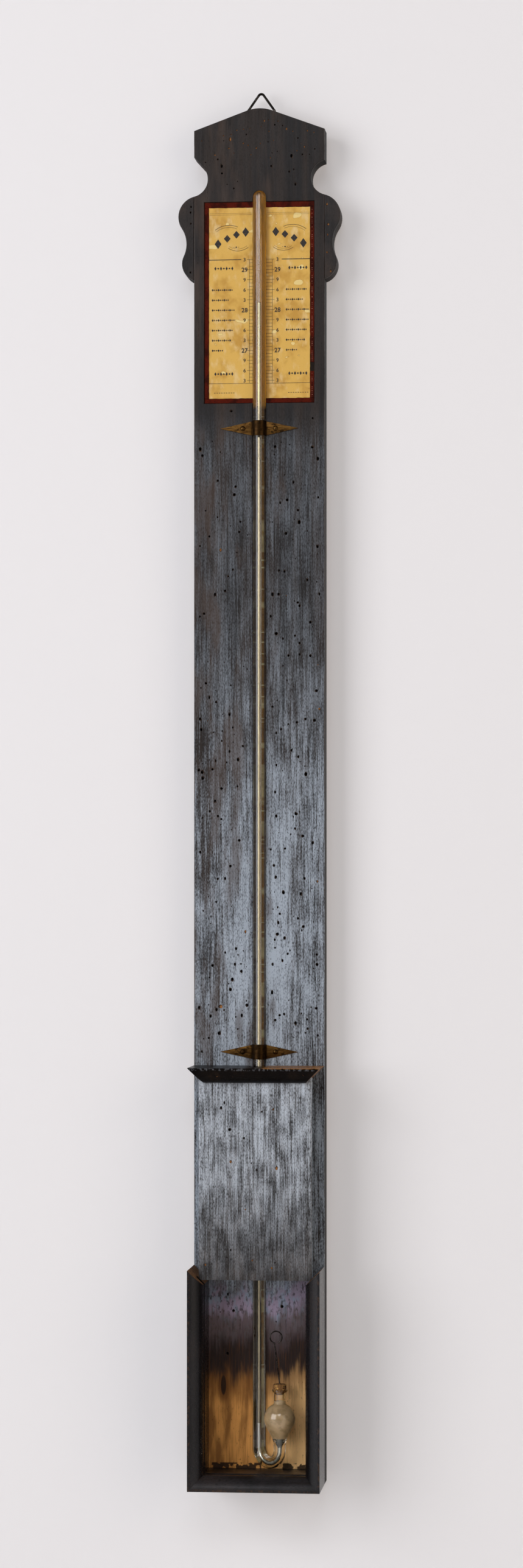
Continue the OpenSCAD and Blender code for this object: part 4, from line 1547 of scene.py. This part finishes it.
    def build_pool(self) -> None:
        """Draws the still mercury: from the pool in the bulb, round the bend and up inside the thread."""
        bm = bmesh.new()
        ball = self.bulb_r - self.wall
        inside = self.pear(self.bore, ball, self.neck_r - self.wall, self.bend_z, self.lip)
        edge = self.level - self.pool_edge
        line = [(r - self.slack, z) for r, z in inside if z < edge]
        touch = self.touch(ball)
        rim = touch[0] - (touch[1] - edge) * math.tan(self.cone) - self.slack
        ring = Ring(bm, self.short_leg + Vector((0.0, 0.0, self.level)), 0.12 * rim)
        cap = list(ring.points)
        for share, drop in ((0.35, 0.04), (0.6, 0.14), (0.8, 0.32), (0.93, 0.58), (1.0, 0.95)):
            ring.draw(share * rim, self.level - drop * self.pool_rise)
        ring.trace(reversed(line))
        ring.bend(self.middle, self.axis, -math.pi, self.bend_steps)
        slim, head = self.thread - 0.02 * MM, self.foot + self.lap
        ring.trace(((slim, self.foot - 2.0 * MM), (slim, head), (0.5 * self.thread, head)))
        ring.close()
        bmesh.ops.pointmerge(bm, verts=cap, merge_co=self.short_leg + Vector((0.0, 0.0, self.level)))
        outward(bm)
        piece = new_piece("mercury_pool", bm, [MERCURY], self.round_over)
        publish(piece, "barometer", "mercury", "mercury_cistern")

    def build_thread(self) -> None:
        """Draws the thread of mercury with its domed top."""
        bm = bmesh.new()
        r = self.thread
        ring = Ring(bm, self.long_leg + Vector((0.0, 0.0, self.foot)), r)
        bmesh.ops.contextual_create(bm, geom=ring.edges)
        ring.draw(r, self.column - 0.72 * MM)
        for share, drop in ((0.92, 0.45), (0.75, 0.22), (0.5, 0.08), (0.2, 0.01)):
            ring.draw(share * r, self.column - drop * MM)
        ring.close()
        bmesh.ops.recalc_face_normals(bm, faces=bm.faces)
        piece = new_piece("mercury_thread", bm, [MERCURY], self.round_over)
        publish(piece, "mercury", "mercury", "mercury_column")

    def build_cork(self) -> None:
        """Turns the cork and roughens its top."""
        low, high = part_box("cork_stopper")
        bm = bmesh.new()
        wide = (high.x - low.x) / 2
        mouth = self.neck_r - self.wall - 0.03 * MM
        ring = Ring(bm, self.short_leg + Vector((0.0, 0.0, low.z)), 0.45 * MM, 24)
        hub = list(ring.edges)
        ring.trace(((0.8 * mouth, low.z), (mouth, low.z + 0.4 * MM), (mouth, self.lip - 2.0 * MM),
                    (wide - 0.1 * MM, self.lip + 0.1 * MM), (wide, self.lip + 1.2 * MM),
                    (wide, high.z - 0.6 * MM), (wide - 0.5 * MM, high.z - 0.1 * MM), (0.7 * wide, high.z),
                    (0.4 * wide, high.z), (0.46 * MM, high.z)))
        bmesh.ops.bridge_loops(bm, edges=hub + ring.edges)
        outward(bm)
        for vert in bm.verts:
            if vert.co.z > self.lip + 0.5 * MM:
                rough = noise.noise(vert.co * 900.0)
                vert.co.z -= 0.5 * MM * abs(rough)
        piece = new_piece("cut_cork", bm, [CORK], 50.0)
        publish(piece, "stopper", "cork", "cork_stopper")

    def build(self) -> None:
        """Builds the glass, the mercury, the cork and the wire."""
        self.build_glass()
        self.build_pool()
        self.build_thread()
        self.build_cork()
        wire = new_piece("iron_pull_wire", cad_solid("pull_wire"), [IRON], 50.0)
        publish(wire, "stopper", "wire_iron", "pull_wire")


@dataclass
class Metalwork:
    """Clips, nails and the hanger."""

    burr: float = 0.12 * MM

    def build_clip(self, node: str) -> None:
        """Builds one clip and its nails.

        Args:
            node: name of the clip's CAD node.
        """
        bm = cad_solid(node)
        front = min(v.co.y for v in bm.verts)
        round_arrises(bm, self.burr,
                      lambda e: e.calc_length() > 2.0 * MM and all(v.co.y > front for v in e.verts))
        piece = new_piece("brass_" + node, bm, [CLIP])
        publish(piece, "barometer", "clip_brass", node)
        nails = new_piece("brass_" + node + "_nails", cad_solid(node + "_nails"), [NAIL], 40.0)
        publish(nails, "barometer", "nail_brass", node + "_nails")

    def build(self) -> None:
        """Builds the clips and the hanger."""
        self.build_clip("upper_clip")
        self.build_clip("lower_clip")
        bail = new_piece("iron_bail", cad_solid("hanger_bail"), [IRON], 50.0)
        publish(bail, "bail", "wire_iron", "hanger_bail")
        strap = new_piece("brass_strap", cad_solid("hanger_strap"), [STRAP], 40.0)
        publish(strap, "barometer", "strap_iron", "hanger_strap")
        nails = new_piece("iron_nails", cad_solid("hanger_nails"), [IRON], 40.0)
        publish(nails, "barometer", "nail_iron", "hanger_nails")


@dataclass
class Studio:
    """Backdrop, floor, lamps and camera."""

    wall_y: float = 0.008
    floor_z: float = -1.25
    camera_at: Size = (0.2492, -2.315, -0.5314)
    camera_yaw: float = 5.0
    lens: float = 79.2
    shift: Spot = (-0.044, 0.0634)
    world: str = "#767579"
    world_strength: float = 0.55

    def build_stage(self) -> None:
        """Builds the backdrop and the floor."""
        turns = {"backdrop": Matrix.Translation((0.0, self.wall_y, 0.0)) @ UPRIGHT,
                 "floor": Matrix.Translation((0.0, 0.0, self.floor_z))}
        for name, place in turns.items():
            bm = bmesh.new()
            bmesh.ops.create_grid(bm, x_segments=2, y_segments=2, size=4.0, matrix=place)
            new_piece(name, bm, [StudioPlaster("pale_" + name, one_sided=name == "backdrop")])

    def lamp(self, name: str, at: Size, aim: Size, size: Spot, power: float, code: str) -> None:
        """Hangs a soft lamp.

        Args:
            name: its name.
            at: its place.
            aim: the point that it faces.
            size: its width and height in metres.
            power: its power in watts.
            code: its colour.
        """
        light = bpy.data.lights.new(name, "AREA")
        light.shape = "RECTANGLE"
        light.size, light.size_y = size
        light.energy = power
        light.color = colour(code)[:3]
        holder = bpy.data.objects.new(name, light)
        holder.location = at
        holder.rotation_euler = (Vector(aim) - Vector(at)).to_track_quat("-Z", "Y").to_euler()
        bpy.context.scene.collection.objects.link(holder)

    def build_light(self) -> None:
        """Hangs the lamps and sets the world."""
        middle = (0.0, -0.02, -0.45)
        self.lamp("key", (-2.2, -2.4, 0.2), middle, (2.2, 2.2), 72.0, "#f6f6fb")
        self.lamp("fill", (2.3, -2.2, 0.0), middle, (2.0, 2.0), 22.0, "#fff0e0")
        self.lamp("front", (0.1, -2.7, 1.1), (0.0, -0.02, -0.8), (1.2, 0.8), 14.0, "#f4f7ff")
        self.lamp("back", (0.6, 2.6, 0.3), middle, (1.6, 1.6), 40.0, "#ffffff")
        world = bpy.data.worlds.new("pale_room")
        world.use_nodes = True
        plug(world.node_tree.nodes["Background"],
             {"Color": colour(self.world), "Strength": self.world_strength})
        bpy.context.scene.world = world

    def build_camera(self) -> None:
        """Sets the camera where the photograph was taken from."""
        lens = bpy.data.cameras.new("camera")
        lens.lens = self.lens
        lens.sensor_width = 36.0
        lens.shift_x, lens.shift_y = self.shift
        lens.clip_start = 0.05
        holder = bpy.data.objects.new("camera", lens)
        holder.location = self.camera_at
        holder.rotation_euler = (math.pi / 2, 0.0, math.radians(self.camera_yaw))
        bpy.context.scene.collection.objects.link(holder)
        bpy.context.scene.camera = holder

    def build(self) -> None:
        """Builds the stage, the light and the camera."""
        self.build_stage()
        self.build_light()
        self.build_camera()
        bpy.context.scene.view_settings.view_transform = "Standard"


def main() -> None:
    """Builds every sub-assembly in order."""
    logging.basicConfig(level=logging.INFO, format="%(message)s")
    for part in (Studio(), Backboard(), CisternBox(), PaperScale(), SiphonTube(), Metalwork()):
        LOG.info("%s", type(part).__name__)
        part.build()


if __name__ == "__main__":
    main()
